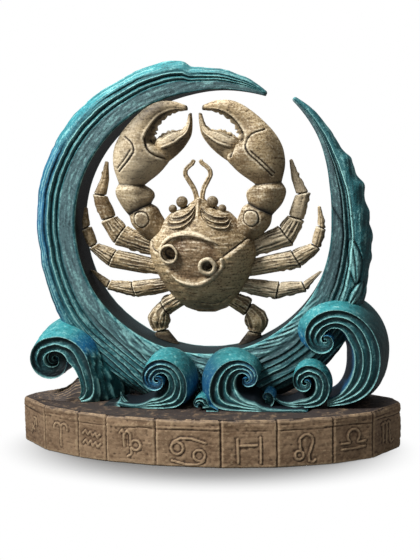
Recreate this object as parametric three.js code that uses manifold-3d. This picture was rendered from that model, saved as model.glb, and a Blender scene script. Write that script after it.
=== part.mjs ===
// Crab statuette: a crab standing inside a crescent wave, on a faceted oval plinth.
// Millimetres, +Z up, the front faces -Y, origin on the table under the middle of the ring.

import * as THREE from "three";
import { mergeVertices } from "three/addons/utils/BufferGeometryUtils.js";
import Module from "manifold-3d";

// Fits
const GLUE_GAP = 0.3; // glue line between neighbouring castings
const PIN_PLAY = 0.15; // radial play of a steel pin in its socket

// Plinth
const PLINTH_HALF_WIDTH = 84;
const PLINTH_FRONT_DEPTH = 43; // from the ring's middle plane to the front
const PLINTH_BACK_DEPTH = 25.5; // from the line between the outermost front corners to the back
const PLINTH_HEIGHT = 18.7;
const PLINTH_EDGE = 0.7; // chamfer at the top and bottom edges
const BAND_BELOW_TOP = 4.3; // from the plinth's top to the groove under the band
const BAND_GROOVE = 0.8;
const CORNER_GROOVE_WIDTH = 1.8;
const CORNER_GROOVE_DEPTH = 0.9;
const FELT_THICKNESS = 1;
const FELT_INSET = 2.5;
const FRONT_CORNERS = [-76, -53, -36.5, -26, -10.5, 8, 24, 42, 59, 84]; // degrees round from the front
const BACK_PANELS = 11;

// Crescent ring: angles run from +X over the top, so the left horn is first and the right horn last
const RING_X = -0.5;
const RING_INNER_RADIUS = 55.3;
const RING_FLOOR = 20.1; // from the plinth's top to the lowest point of the opening
const RING_DEPTH = 19.6;
const RING_GROOVE = 1.3;
const RING_STEP = 9; // degrees between sections
const RING_KEYS = [
  { angle: 64.5, swell: 5.2, band: 2.3, share: 0.36 },
  { angle: 72, swell: 4, band: 5.7, share: 0.48 },
  { angle: 82, swell: 2.7, band: 8.6, share: 0.62 },
  { angle: 94, swell: 1.2, band: 11, share: 0.76 },
  { angle: 97, swell: 0.9, band: 14, share: 0.82 },
  { angle: 105, swell: 0.4, band: 15.8, share: 0.9 },
  { angle: 120, swell: 0, band: 16.8, share: 1 },
  { angle: 140, swell: 0, band: 18.8, share: 1 },
  { angle: 162, swell: 0.2, band: 19.4, share: 1 },
  { angle: 188, swell: 0.2, band: 19.4, share: 1 },
  { angle: 212, swell: 0.4, band: 21.8, share: 1 },
  { angle: 238, swell: 0, band: 25.5, share: 1 },
  { angle: 300, swell: 0, band: 25.5, share: 1 },
  { angle: 328, swell: 0, band: 22.2, share: 1 },
  { angle: 342, swell: -0.3, band: 18.6, share: 1 },
  { angle: 360, swell: -0.4, band: 15.4, share: 1 },
  { angle: 375, swell: 1, band: 12.4, share: 0.9 },
  { angle: 386, swell: 3.4, band: 8.6, share: 0.76 },
  { angle: 396, swell: 6, band: 5.8, share: 0.6 },
  { angle: 406, swell: 8.1, band: 4, share: 0.45 },
  { angle: 413, swell: 9.4, band: 2.2, share: 0.34 },
];
const SCALLOP_FROM = 348;
const SCALLOP_TO = 392;
const SCALLOP_COUNT = 4;
const SCALLOP_HEIGHT = 1.1;

// Wave curls: the eye lies at x and up (above the plinth), and the radius is taken level with it.
// The flank flares to the back, fades between two turns and spreads below the eye.
const CURL_STEP = 18; // degrees between sections
const CURL_GROOVE = 1.5;
const CURL_BACK = 6; // how far the outer waves reach behind the ring's middle
const CURL_SINK = 2; // how far a tail runs into the plinth's top before it is cut flat
const CURLS = {
  wave_left_outer: { x: -66, up: 17.3, hand: 1, radius: 17, tail: 0.295, inner: 1.21, sweep: 0.4, roll: 0.1,
    from: -52, to: 560, front: -19, flare: 6, spread: 17, fade: [60, 200], band: 0.565, core: 0.38, wraps: true },
  wave_centre_left: { x: -17.6, up: 11.9, hand: 1, radius: 12.6, tail: 0.22, inner: 0.33, sweep: 0, roll: 0.25,
    from: -148, to: 440, front: -27, flare: 2.2, spread: 0, fade: [60, 200], band: 0.61, core: 0.6 },
  wave_centre_right: { x: 20.1, up: 13, hand: -1, radius: 14.2, tail: 0.37, inner: 0.45, sweep: 0, roll: 0.36,
    from: -125, to: 420, front: -27, flare: 6, spread: 0, fade: [10, 100], band: 0.66, core: 0.62 },
  wave_right_small: { x: 44.1, up: 10.6, hand: 1, radius: 9.8, tail: 0.16, inner: 0.33, sweep: 0, roll: 0.27,
    from: -150, to: 420, front: -20.5, flare: 1, spread: 0, fade: [60, 200], band: 0.54, core: 0.6 },
  wave_right_outer: { x: 52.2, up: 28.4, hand: 1, radius: 21.2, tail: 0.35, inner: 0.72, sweep: 0, roll: 0.28,
    from: -88, to: 440, front: -19, flare: 4.2, spread: 0, fade: [160, 300], band: 0.54, core: 0.6, wraps: true },
  wave_centre_bud: { x: 1.2, up: 3.2, hand: 1, radius: 5.6, tail: 0.25, inner: 0.25, sweep: 0, roll: 0.25,
    from: -60, to: 250, front: -29, flare: 0, spread: 0, fade: [60, 200], band: 0.6, core: 0.6 },
  wave_low_right: { x: 27.5, up: 4.6, hand: 1, radius: 4, tail: 0.3, inner: 0.3, sweep: 0, roll: 0.25,
    from: -100, to: 250, front: -22, flare: 0, spread: 0, fade: [60, 200], band: 0.9, core: 0.9 },
  wave_low_left: { x: -32.8, up: 1.6, hand: 1, radius: 6.4, tail: 0.25, inner: 0.25, sweep: 0, roll: 0.3,
    from: -40, to: 200, front: -23.5, flare: 0, spread: 0, fade: [60, 200], band: 0.6, core: 0.6 },
};

// Spray at the foot of the left wave: a fan that falls away from the stem
const SPRAY_Y = -8;
const SPRAY = [
  { x: -50, rise: 11, half: 8 },
  { x: -56.2, rise: 9.2, half: 9 },
  { x: -60, rise: 5.8, half: 10 },
  { x: -65.3, rise: 3, half: 9.5 },
  { x: -76, rise: 1, half: 4 },
];

// Crab: [out from its midline, up from the ring's centre], seen from the front
const CRAB_X = -1.2;
const CRAB_SWAY = 0.025; // sideways lean per millimetre of height
const CRAB_LEAN = 0.12; // forward lean per millimetre of height
const CRAB_UPRIGHT = -15; // height at which it stands over the ring's middle plane
const SHELL = [
  { up: -36.1, half: 8.5, bulge: 6 },
  { up: -34, half: 11.5, bulge: 8.5 },
  { up: -30.5, half: 14.7, bulge: 11.5 },
  { up: -24.4, half: 18.8, bulge: 14.2 },
  { up: -18.1, half: 21.8, bulge: 15.6 },
  { up: -11.1, half: 23.2, bulge: 16 },
  { up: -6.6, half: 22.6, bulge: 15 },
  { up: -2.6, half: 19.8, bulge: 13.4 },
  { up: 2.9, half: 15.2, bulge: 10.5 },
  { up: 5.8, half: 12.2, bulge: 8.3 },
  { up: 7.1, half: 8, bulge: 7.2 },
  { up: 10.6, half: 2.8, bulge: 3.6 },
];
const BELLY = [
  { up: -38.4, half: 4.5, bulge: 4 },
  { up: -36.5, half: 9.5, bulge: 6.5 },
  { up: -30.5, half: 14.4, bulge: 8 },
  { up: -18.1, half: 21.4, bulge: 9 },
  { up: -8, half: 22.3, bulge: 9 },
  { up: 2.9, half: 14.8, bulge: 7 },
  { up: 5.8, half: 11.8, bulge: 5.8 },
  { up: 7.1, half: 7.6, bulge: 5 },
  { up: 10.2, half: 2.7, bulge: 3 },
];
const RELIEF = 1.8; // height of the emblem over the shell
const BROW_RELIEF = 1.3;
const BROW = [[0.8, 7.9], [1.9, 2.4], [6.3, -0.6], [11.8, 0.1], [13.2, 3.2], [9.6, 6.4]];
const SIGN_UPPER = [[-16.6, -9.4], [-14, -5.6], [-8.4, -2.9], [-1, -2.3], [5.6, -4.4], [10.4, -7.6]];
const SIGN_LOWER = [[8.6, -18.6], [4.4, -23], [-1.6, -25.1], [-7.6, -24.3], [-13.2, -21.2]];
const SIGN_STROKE = 2.2;
const UPPER_CUP = { out: -12.5, up: -11.5, radius: 4.3, bore: 3.2 };
const LOWER_CUP = { out: 4.2, up: -16.6, radius: 3.9, bore: 2.6 };
const LARGE_EYE = { out: 6.6, up: 10.1, forward: 3, radius: 2.5 };
const SMALL_EYE = { out: 10.7, up: 7.2, forward: 3.4, radius: 1.8 };
const ANTENNA = [[1.25, 7.5], [1.25, 11.7], [2.4, 15.8], [4.7, 20.1], [5.6, 22.7], [4.1, 25], [1.7, 27.2]];
const ANTENNA_RADIUS = 1;

// Limb sections: outer and inner edge points, and half the depth from front to back
const ARM = [
  { outer: [19, -8.1], inner: [14, -1.1], deep: 4.5 },
  { outer: [26.4, -4], inner: [17.2, 5], deep: 6.2 },
  { outer: [30.2, 0.6], inner: [18.8, 8], deep: 6.6 },
  { outer: [31, 4.2], inner: [21, 9.4], deep: 5.4 },
];
const WRIST = [
  { outer: [31, 4.2], inner: [21, 9.4], deep: 5.4 },
  { outer: [35.8, 9.8], inner: [20.4, 13], deep: 7.2 },
  { outer: [37.2, 15.4], inner: [21.8, 15.6], deep: 7.4 },
  { outer: [35.6, 18.2], inner: [24.4, 17.4], deep: 5.8 },
];
const PALM = [
  { outer: [35.6, 18.2], inner: [24.4, 17.4], deep: 5.8 },
  { outer: [37.4, 26.4], inner: [16, 24.1], deep: 8.4 },
  { outer: [36.6, 32.9], inner: [12.8, 29.1], deep: 8.8 },
  { outer: [33, 39.5], inner: [18.3, 35.9], deep: 7.6 },
  { outer: [26, 46.7], inner: [18, 40.4], deep: 5.2 },
  { outer: [16.5, 52.4], inner: [13.5, 45.9], deep: 4 },
  { outer: [10, 52.7], inner: [9, 48.1], deep: 2.8 },
  { outer: [4.3, 50.9], inner: [4, 48.7], deep: 1.4 },
];
const FINGER = [
  { outer: [15, 26], inner: [20.5, 34.5], deep: 3.6 },
  { outer: [8.5, 30.9], inner: [16, 38.3], deep: 4.6 },
  { outer: [5, 34.7], inner: [11.4, 40.2], deep: 4 },
  { outer: [2.6, 38.8], inner: [7, 40.6], deep: 3 },
  { outer: [1.9, 43.6], inner: [4.5, 43], deep: 1.9 },
  { outer: [1.9, 47.2], inner: [3.5, 46.9], deep: 1 },
];
const CLAW_SHIFT = { left: -1, right: 0 }; // outwards from the arm, so the left claw leans in
const TOOTH_RADIUS = 0.9;
const TOOTH_COUNT = 4;
const BOSS = { out: 24.8, up: 2.6, radius: 3.2 };
const HEEL_OUT = 24;
const TOE_OUT = 13;
const TIP_THICKNESS = 1.6;
const WALL_TIP_DROP = 22; // degrees below level at which the third legs meet the ring's wall
const SEAM_WIDTH = 1; // groove round a leg where two segments meet
const LEGS = {
  leg_1: [
    { outer: [20.5, -14.1], inner: [20, -7.1], deep: 3.2 },
    { outer: [39.3, -8.7], inner: [33.3, -0.6], deep: 4 },
    { outer: [44.2, 1.7], inner: [37.7, 3.8], deep: 3.4 },
    { outer: [47, 13.8], inner: [41.3, 12.7], deep: 2.8 },
    { outer: [40.6, 27.4], inner: [39, 27], deep: 0.9 },
  ],
  leg_2: [
    { outer: [17, -22.6], inner: [19.5, -15.6], deep: 3.2 },
    { outer: [42.5, -18.6], inner: [38.3, -11.2], deep: 4 },
    { outer: [50.6, -10.4], inner: [47, -8.4], deep: 2.8 },
    { outer: [RING_INNER_RADIUS - 2.1, -2], inner: [49.6, -0.6], deep: 2.4 },
    { outer: [51.7, 7.4], inner: [50.1, 7.2], deep: 0.9 },
  ],
  leg_3: [
    { outer: [13.5, -29.1], inner: [16.5, -23.6], deep: 3 },
    { outer: [30.9, -32.4], inner: [32.6, -25.2], deep: 3.6 },
    { outer: [44.2, -28.8], inner: [42.4, -25.1], deep: 2.6 },
    wallTip(),
  ],
  leg_4: [
    { outer: [12, -30.1], inner: [7.5, -33.6], deep: 2.8 },
    { outer: [20.3, -34.1], inner: [16.6, -40.1], deep: 3.4 },
    { outer: [26.3, -41.9], inner: [17.2, -43.3], deep: 3.8 },
    { outer: [23.9, -48], inner: [17.9, -46.6], deep: 3 },
    { outer: onFloor(HEEL_OUT), inner: onFloor(TOE_OUT), deep: 3.2 },
  ],
};

// Steel pins
const DOWEL = { out: 14, radius: 2, length: 20 };
const FOOT_PIN = { out: 20.6, radius: 0.8, length: 8 };
const ARM_PIN = { out: 19.4, up: -2.4, forward: 4, radius: 1.2, length: 9, slope: 54 };

// Worked out from the values above
const PLINTH_TOP = FELT_THICKNESS + PLINTH_HEIGHT;
const RING_Z = PLINTH_TOP + RING_FLOOR + RING_INNER_RADIUS;
const RING_FRONT = -RING_DEPTH / 2;
const SIDES = { left: -1, right: 1 };

const wasm = await Module();
wasm.setup();

/** Point of a limb tip that meets the ring's wall. */
function wallTip() {
  const drop = THREE.MathUtils.degToRad(WALL_TIP_DROP);
  const reach = RING_INNER_RADIUS - GLUE_GAP;
  const out = reach * Math.cos(drop);
  const up = -reach * Math.sin(drop);
  return { outer: [out, up], inner: [out - TIP_THICKNESS, up], deep: TIP_THICKNESS / 2 };
}

/** Point on the ring's floor, a given distance out. */
function onFloor(out) {
  return [out, -Math.sqrt(RING_INNER_RADIUS ** 2 - out ** 2)];
}

/** Value of one column of a list of keys, between the two keys round a place. */
function between(keys, place, at, column) {
  const last = keys.length - 1;
  const found = keys.findIndex((key) => key[place] >= at);
  const next = THREE.MathUtils.clamp(found, 1, last);
  const before = keys[next - 1];
  const after = keys[next];
  return THREE.MathUtils.mapLinear(at, before[place], after[place], before[column], after[column]);
}

/** Closed solid of a three.js geometry, whichever way its faces turn. */
function solidOf(geometry) {
  const bare = geometry.clone();
  bare.deleteAttribute("normal");
  bare.deleteAttribute("uv");
  const merged = mergeVertices(bare, 1e-4);
  const corners = Uint32Array.from(merged.index.array);
  const mesh = new wasm.Mesh({ numProp: 3, vertProperties: merged.attributes.position.array, triVerts: corners });
  return new wasm.Manifold(mesh);
}

/** Largest body of a solid, so that a cut leaves no crumbs. */
function mainBody(solid) {
  const bodies = solid.decompose();
  bodies.sort((a, b) => b.volume() - a.volume());
  return bodies[0];
}

/** Named mesh of a solid. */
function meshOf(name, solid, material) {
  const { vertProperties, triVerts } = mainBody(solid).getMesh();
  const geometry = new THREE.BufferGeometry();
  geometry.setAttribute("position", new THREE.BufferAttribute(vertProperties, 3));
  geometry.setIndex(new THREE.BufferAttribute(triVerts, 1));
  geometry.computeVertexNormals();
  const mesh = new THREE.Mesh(geometry, material);
  mesh.name = name;
  return mesh;
}

/** Middle of a closed row of points. */
function middleOf(row) {
  const sum = row.reduce((total, point) => total.add(point), new THREE.Vector3());
  return sum.divideScalar(row.length);
}

/** Solid skinned over closed rows of points, with a cap over each end. */
function loft(rows) {
  const count = rows[0].length;
  const points = [...rows.flat(), middleOf(rows[0]), middleOf(rows.at(-1))];
  const startCap = points.length - 2;
  const endCap = points.length - 1;
  const lastRow = (rows.length - 1) * count;
  const corners = [];
  for (let column = 0; column < count; column += 1) {
    const next = (column + 1) % count;
    corners.push(startCap, next, column);
    corners.push(endCap, lastRow + column, lastRow + next);
    for (let row = 0; row < lastRow; row += count) {
      corners.push(row + column, row + next, row + count + next);
      corners.push(row + column, row + count + next, row + count + column);
    }
  }
  const geometry = new THREE.BufferGeometry().setFromPoints(points);
  geometry.setIndex(corners);
  if (signedVolume(points, corners) < 0) {
    geometry.setIndex(corners.reverse());
  }
  return solidOf(geometry);
}

/** Six times the volume enclosed by triangles, negative where they face inward. */
function signedVolume(points, corners) {
  let total = 0;
  for (let i = 0; i < corners.length; i += 3) {
    const [a, b, c] = corners.slice(i, i + 3).map((corner) => points[corner]);
    total += a.dot(b.clone().cross(c));
  }
  return total;
}

/** Prism of an outline drawn on the front view, running between two depths. */
function frontPrism(shape, fromY, toY) {
  const geometry = new THREE.ExtrudeGeometry(shape, { depth: toY - fromY, bevelEnabled: false, curveSegments: 10 });
  geometry.rotateX(Math.PI / 2);
  geometry.translate(0, toY, 0);
  return solidOf(geometry);
}

/** Round bar between two points. */
function bar(from, to, radius) {
  const axis = to.clone().sub(from);
  const geometry = new THREE.CylinderGeometry(radius, radius, axis.length(), 16);
  const up = new THREE.Vector3(0, 1, 0);
  geometry.applyQuaternion(new THREE.Quaternion().setFromUnitVectors(up, axis.normalize()));
  const centre = from.clone().lerp(to, 0.5);
  geometry.translate(centre.x, centre.y, centre.z);
  return solidOf(geometry);
}

/** Pin and the socket it needs in both pieces. */
function pinAndSocket(from, to, radius) {
  const axis = to.clone().sub(from).setLength(GLUE_GAP);
  const socket = bar(from.clone().sub(axis), to.clone().add(axis), radius + PIN_PLAY);
  return { pin: bar(from, to, radius), socket };
}

/** Corners of the plinth: on an oval round the front and a flatter one round the back. */
function plinthCorners(inset) {
  const front = FRONT_CORNERS.map((degrees) => {
    const turn = THREE.MathUtils.degToRad(degrees);
    const x = (PLINTH_HALF_WIDTH - inset) * Math.sin(turn);
    const y = -(PLINTH_FRONT_DEPTH - inset) * Math.cos(turn);
    return new THREE.Vector3(x, y, 0);
  });
  const back = Array.from({ length: BACK_PANELS - 1 }, (_, i) => {
    const turn = (Math.PI * (i + 1)) / BACK_PANELS;
    const corner = front[0].clone().lerp(front.at(-1), (1 + Math.cos(turn)) / 2);
    corner.y += (PLINTH_BACK_DEPTH - inset) * Math.sin(turn);
    return corner;
  });
  return [...front, ...back];
}

/** Outline of the plinth, with a groove at each corner. */
function plinthOutline(inset) {
  const corners = plinthCorners(inset);
  return corners.flatMap((corner, i) => {
    const before = corners.at(i - 1).clone().sub(corner).setLength(CORNER_GROOVE_WIDTH / 2);
    const after = corners[(i + 1) % corners.length].clone().sub(corner).setLength(CORNER_GROOVE_WIDTH / 2);
    const groove = corner.clone().setLength(corner.length() - CORNER_GROOVE_DEPTH);
    return [corner.clone().add(before), groove, corner.clone().add(after)];
  });
}

/** Plinth: straight sides with a band groove under the top edge. */
function plinthSolid() {
  const band = PLINTH_TOP - BAND_BELOW_TOP;
  const levels = [
    [FELT_THICKNESS, PLINTH_EDGE],
    [FELT_THICKNESS + PLINTH_EDGE, 0],
    [band - BAND_GROOVE, 0],
    [band, BAND_GROOVE],
    [band + BAND_GROOVE, 0],
    [PLINTH_TOP - PLINTH_EDGE, 0],
    [PLINTH_TOP, PLINTH_EDGE],
  ];
  return loft(levels.map(([z, inset]) => plinthOutline(inset).map((point) => point.setZ(z))));
}

/** Felt sheet under the plinth. */
function feltSolid() {
  const rim = plinthOutline(FELT_INSET);
  return loft([rim, rim.map((point) => point.clone().setZ(FELT_THICKNESS))]);
}

/** Everything below the plinth's top, for cutting feet flat. */
function belowPlinthTop() {
  const width = 4 * PLINTH_HALF_WIDTH;
  const geometry = new THREE.BoxGeometry(width, width, width);
  geometry.translate(0, 0, PLINTH_TOP - width / 2);
  return solidOf(geometry);
}

/** Closed section of the ring at an angle, with the same relief front and back. */
function ringSection(angle, grow) {
  const inScallops = angle > SCALLOP_FROM && angle < SCALLOP_TO;
  const lobe = ((angle - SCALLOP_FROM) / (SCALLOP_TO - SCALLOP_FROM)) * SCALLOP_COUNT * Math.PI;
  const scallop = inScallops ? SCALLOP_HEIGHT * Math.abs(Math.sin(lobe)) : 0;
  const inner = RING_INNER_RADIUS + between(RING_KEYS, "angle", angle, "swell") - grow;
  const band = between(RING_KEYS, "angle", angle, "band") + scallop + 2 * grow;
  const half = (RING_DEPTH / 2) * between(RING_KEYS, "angle", angle, "share") + grow;
  const groove = Math.min(RING_GROOVE, band * 0.09);
  const face = [
    [0, half * 0.95],
    [0.04, half],
    [0.34, half],
    [0.4, half - groove],
    [0.47, half - groove * 0.1],
    [0.54, half - groove],
    [0.61, half],
    [0.85, half * 0.93],
    [0.96, half * 0.7],
    [1, half * 0.25],
  ];
  const turn = THREE.MathUtils.degToRad(angle);
  const place = (share, y) => {
    const radius = inner + band * share;
    return new THREE.Vector3(RING_X + radius * Math.cos(turn), y, RING_Z + radius * Math.sin(turn));
  };
  const front = face.map(([share, depth]) => place(share, -depth));
  const back = face.toReversed().map(([share, depth]) => place(share, depth));
  return [...front, ...back];
}

/** Angles of the ring's sections: every key, closer together along the scallops. */
function ringAngles() {
  const angles = [];
  RING_KEYS.slice(1).forEach((key, i) => {
    const before = RING_KEYS[i].angle;
    const scalloped = key.angle > SCALLOP_FROM && before < SCALLOP_TO;
    const steps = Math.ceil((key.angle - before) / (scalloped ? RING_STEP / 2 : RING_STEP));
    for (let step = 0; step < steps; step += 1) {
      angles.push(THREE.MathUtils.lerp(before, key.angle, step / steps));
    }
  });
  return [...angles, RING_KEYS.at(-1).angle];
}

/** Crescent ring, cut flat where it stands on the plinth. */
function ringSolid(grow) {
  return loft(ringAngles().map((angle) => ringSection(angle, grow)));
}

/** Radius of a curl's rim at a turn in degrees: log spirals for the tail and the roll, swept out at the foot. */
function curlRadius(curl, turn) {
  const tailTurn = THREE.MathUtils.degToRad(Math.min(turn, 90));
  const rollTurn = THREE.MathUtils.degToRad(Math.max(turn - 90, 0));
  const below = Math.max(-tailTurn, 0);
  const spiral = curl.radius * Math.exp(curl.sweep * below ** 2 - curl.tail * tailTurn - curl.roll * rollTurn);
  const ground = below > 0 && below < Math.PI ? (curl.up + CURL_SINK) / Math.sin(below) : Infinity;
  return Math.min(spiral, ground);
}

/** Radius of a curl's inner edge: a share of the rim in the roll, and a spiral of its own along the tail. */
function curlInner(curl, turn) {
  const share = THREE.MathUtils.lerp(curl.band, curl.core, THREE.MathUtils.smoothstep(turn, 0, 120));
  const tailTurn = THREE.MathUtils.degToRad(Math.max(-turn, 0));
  const rim = turn < 0 ? curl.radius * Math.exp(curl.inner * tailTurn) : curlRadius(curl, turn);
  return rim * (1 - share);
}

/** Closed section of a curl: a rim that flares to the back and a face with three ridges. */
function curlSection(curl, turn, grow) {
  const rim = curlRadius(curl, turn) + grow;
  const band = rim - curlInner(curl, turn) + grow;
  const below = THREE.MathUtils.degToRad(Math.max(-turn, 0));
  const flare = curl.flare * (1 - THREE.MathUtils.smoothstep(turn, ...curl.fade)) + curl.spread * below;
  const groove = Math.min(CURL_GROOVE, rim * 0.15);
  const front = curl.front - grow;
  const back = curl.wraps ? CURL_BACK : RING_FRONT - GLUE_GAP;
  const deep = back + grow - front;
  const face = [
    [flare, deep],
    [flare * 0.75, deep * 0.5],
    [0, groove * 0.6],
    [-band * 0.08, 0],
    [-band * 0.24, groove],
    [-band * 0.4, groove * 0.3],
    [-band * 0.56, groove * 1.5],
    [-band * 0.72, groove * 0.9],
    [-band, groove * 2.4],
    [-band, deep],
  ];
  const angle = THREE.MathUtils.degToRad(turn);
  return face.map(([outward, inward]) => {
    const radius = rim + outward;
    const x = curl.x + curl.hand * radius * Math.cos(angle);
    return new THREE.Vector3(x, front + inward, PLINTH_TOP + curl.up + radius * Math.sin(angle));
  });
}

/** Wave curl, grown on all sides for cutting its neighbours. */
function curlSolid(name, grow) {
  const curl = CURLS[name];
  const steps = Math.round((curl.to - curl.from) / CURL_STEP);
  const turns = Array.from({ length: steps + 1 }, (_, i) => THREE.MathUtils.lerp(curl.from, curl.to, i / steps));
  if (grow > 0) {
    const margin = THREE.MathUtils.radToDeg((2 * grow) / curl.radius);
    turns.unshift(curl.from - margin);
    turns.push(curl.to + margin);
  }
  return loft(turns.map((turn) => curlSection(curl, turn, grow)));
}

/** Spray: half-round sections that shrink away from the stem of the left wave. */
function spraySolid() {
  const steps = 8;
  return loft(SPRAY.map(({ x, rise, half }) => Array.from({ length: steps + 1 }, (_, i) => {
    const turn = (Math.PI * i) / steps;
    return new THREE.Vector3(x, SPRAY_Y + half * Math.cos(turn), PLINTH_TOP + rise * Math.sin(turn));
  })));
}

/** Point of the crab: out from its midline on one side, up from the ring's centre, forward of its middle. */
function crabPoint(side, out, up, forward) {
  const x = CRAB_X + side * out - CRAB_SWAY * (up - CRAB_UPRIGHT);
  const y = -CRAB_LEAN * (up - CRAB_UPRIGHT) - forward;
  return new THREE.Vector3(x, y, RING_Z + up);
}

/** Half of the crab's body: a dome over the crab's middle plane, bulging one way. */
function domeSolid(stations, facing, grow) {
  const steps = 10;
  const last = stations.length - 1;
  const rows = stations.map(({ up, half, bulge }, i) => {
    const ends = i === 0 ? -grow : 0;
    const level = up + ends + (i === last ? grow : 0);
    return Array.from({ length: steps + 1 }, (_, step) => {
      const turn = (step / steps) * Math.PI;
      const forward = facing * ((bulge + 2 * grow) * Math.sin(turn) ** 0.85 - grow);
      return crabPoint(1, (half + grow) * Math.cos(turn), level, forward);
    });
  });
  return loft(rows);
}

/** Carapace, grown on all sides for cutting its neighbours. */
function carapaceSolid(grow) {
  return domeSolid(SHELL, 1, grow);
}

/** Belly shell, a glue line behind the carapace. */
function bellySolid(grow) {
  return domeSolid(BELLY, -1, grow).translate([0, GLUE_GAP, 0]);
}

/** Room taken by the body and the glue line round it. */
function bodySpace() {
  return carapaceSolid(GLUE_GAP).add(bellySolid(GLUE_GAP));
}

/** Ring of points round one limb section. */
function limbRow(side, section, spread, forward) {
  const sides = 8;
  const [outOuter, upOuter] = section.outer;
  const [outInner, upInner] = section.inner;
  const middle = [(outOuter + outInner) / 2, (upOuter + upInner) / 2];
  const half = [(outOuter - outInner) / 2, (upOuter - upInner) / 2];
  const size = Math.hypot(...half);
  const wide = (size + spread) / size;
  return Array.from({ length: sides }, (_, i) => {
    const turn = (i / sides) * 2 * Math.PI;
    const reach = Math.cos(turn) * wide;
    const depth = (section.deep + spread) * Math.sin(turn) + forward;
    return crabPoint(side, middle[0] + half[0] * reach, middle[1] + half[1] * reach, depth);
  });
}

/** Limb section moved along the limb towards another section. */
function shifted(section, towards, distance) {
  const middle = (each, i) => (each.outer[i] + each.inner[i]) / 2;
  const run = [middle(towards, 0) - middle(section, 0), middle(towards, 1) - middle(section, 1)];
  const share = distance / Math.hypot(...run);
  const move = (point) => [point[0] + run[0] * share, point[1] + run[1] * share];
  return { outer: move(section.outer), inner: move(section.inner), deep: section.deep };
}

/** Limb sections moved outwards. */
function movedOut(sections, by) {
  const move = ([out, up]) => [out + by, up];
  return sections.map(({ outer, inner, deep }) => ({ outer: move(outer), inner: move(inner), deep }));
}

/** Smooth limb piece, shortened by half a glue line at each end that meets a neighbour. */
function limbSolid(side, sections, forward, { grow = 0, glueStart = false, glueEnd = false } = {}) {
  const trimmed = [...sections];
  const half = GLUE_GAP / 2;
  if (glueStart) {
    trimmed[0] = shifted(sections[0], sections[1], half);
  }
  if (glueEnd) {
    trimmed[sections.length - 1] = shifted(sections.at(-1), sections.at(-2), half);
  }
  return loft(trimmed.map((section) => limbRow(side, section, grow, forward)));
}

/** Leg: flared segments with a groove round each seam. */
function legSolid(side, sections) {
  const rows = sections.flatMap((section, i) => {
    if (i === 0 || i === sections.length - 1) {
      return [limbRow(side, section, 0, 0)];
    }
    const before = shifted(section, sections[i - 1], SEAM_WIDTH);
    const after = shifted(section, sections[i + 1], SEAM_WIDTH);
    return [
      limbRow(side, before, 0.25, 0),
      limbRow(side, section, -SEAM_WIDTH * 0.8, 0),
      limbRow(side, after, -SEAM_WIDTH * 0.2, 0),
    ];
  });
  return loft(rows);
}

/** Cone teeth along the biting edge of a finger, between two sections. */
function teeth(side, from, to, forward) {
  const cones = Array.from({ length: TOOTH_COUNT }, (_, i) => {
    const share = (i + 0.5) / TOOTH_COUNT;
    const out = THREE.MathUtils.lerp(from.inner[0], to.inner[0], share);
    const up = THREE.MathUtils.lerp(from.inner[1], to.inner[1], share);
    const geometry = new THREE.OctahedronGeometry(TOOTH_RADIUS);
    const place = crabPoint(side, out, up, forward);
    geometry.translate(place.x, place.y, place.z);
    return solidOf(geometry);
  });
  return wasm.Manifold.union(cones);
}

/** Round boss on the front of an arm. */
function armBoss(side, forward) {
  const geometry = new THREE.SphereGeometry(BOSS.radius, 10, 6);
  const place = crabPoint(side, BOSS.out, BOSS.up, forward + ARM[1].deep - BOSS.radius * 0.6);
  geometry.translate(place.x, place.y, place.z);
  return solidOf(geometry);
}

/** Eyeball on the edge of the carapace, grown for cutting its neighbours. */
function eyeSolid(side, eye, grow) {
  const geometry = new THREE.SphereGeometry(eye.radius + grow, 10, 7);
  const place = crabPoint(side, eye.out, eye.up, eye.forward);
  geometry.translate(place.x, place.y, place.z);
  return solidOf(geometry);
}

/** Antenna: a thin hooked tube that starts in the carapace. */
function antennaSolid(side) {
  const path = new THREE.CatmullRomCurve3(ANTENNA.map(([out, up]) => crabPoint(side, out, up, 1.5)));
  const outline = new THREE.Shape().absarc(0, 0, ANTENNA_RADIUS, 0, 2 * Math.PI);
  const geometry = new THREE.ExtrudeGeometry(outline, { steps: 16, extrudePath: path, curveSegments: 3 });
  return solidOf(geometry).subtract(bodySpace());
}

/** Relief on the carapace: an outline raised evenly over the dome. */
function shellRelief(shapes, height) {
  const deep = 2 * RING_DEPTH;
  const prism = wasm.Manifold.union(shapes.map((shape) => frontPrism(shape, -deep, 0)));
  return prism.intersect(carapaceSolid(GLUE_GAP + height)).subtract(bodySpace());
}

/** Front-view point of the crab as a drawing point. */
function drawn(side, [out, up]) {
  const point = crabPoint(side, out, up, 0);
  return new THREE.Vector2(point.x, point.z);
}

/** Stroke along a curve that starts full, swells and runs out to a point. */
function strokeShape(points) {
  const curve = new THREE.SplineCurve(points.map((point) => drawn(1, point)));
  const count = 14;
  const edge = (sign) => Array.from({ length: count }, (_, i) => {
    const at = i / count;
    const along = curve.getTangent(at);
    const half = (SIGN_STROKE / 2) * (0.75 + 0.25 * Math.sin(at * Math.PI)) * (1 - at ** 4);
    return curve.getPoint(at).add(new THREE.Vector2(-along.y, along.x).multiplyScalar(sign * half));
  });
  return new THREE.Shape([...edge(1), curve.getPoint(1), ...edge(-1).reverse()]);
}

/** Round cup of the emblem. */
function cupShape(cup) {
  const centre = drawn(1, [cup.out, cup.up]);
  const shape = new THREE.Shape().absarc(centre.x, centre.y, cup.radius, 0, 2 * Math.PI);
  shape.holes.push(new THREE.Path().absarc(centre.x, centre.y, cup.bore, 0, 2 * Math.PI, true));
  return shape;
}

/** Brow lobe over one eye pair. */
function browShape(side) {
  const outline = new THREE.SplineCurve([...BROW, BROW[0]].map((point) => drawn(side, point)));
  return new THREE.Shape(outline.getPoints(24).slice(0, -1));
}

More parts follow.
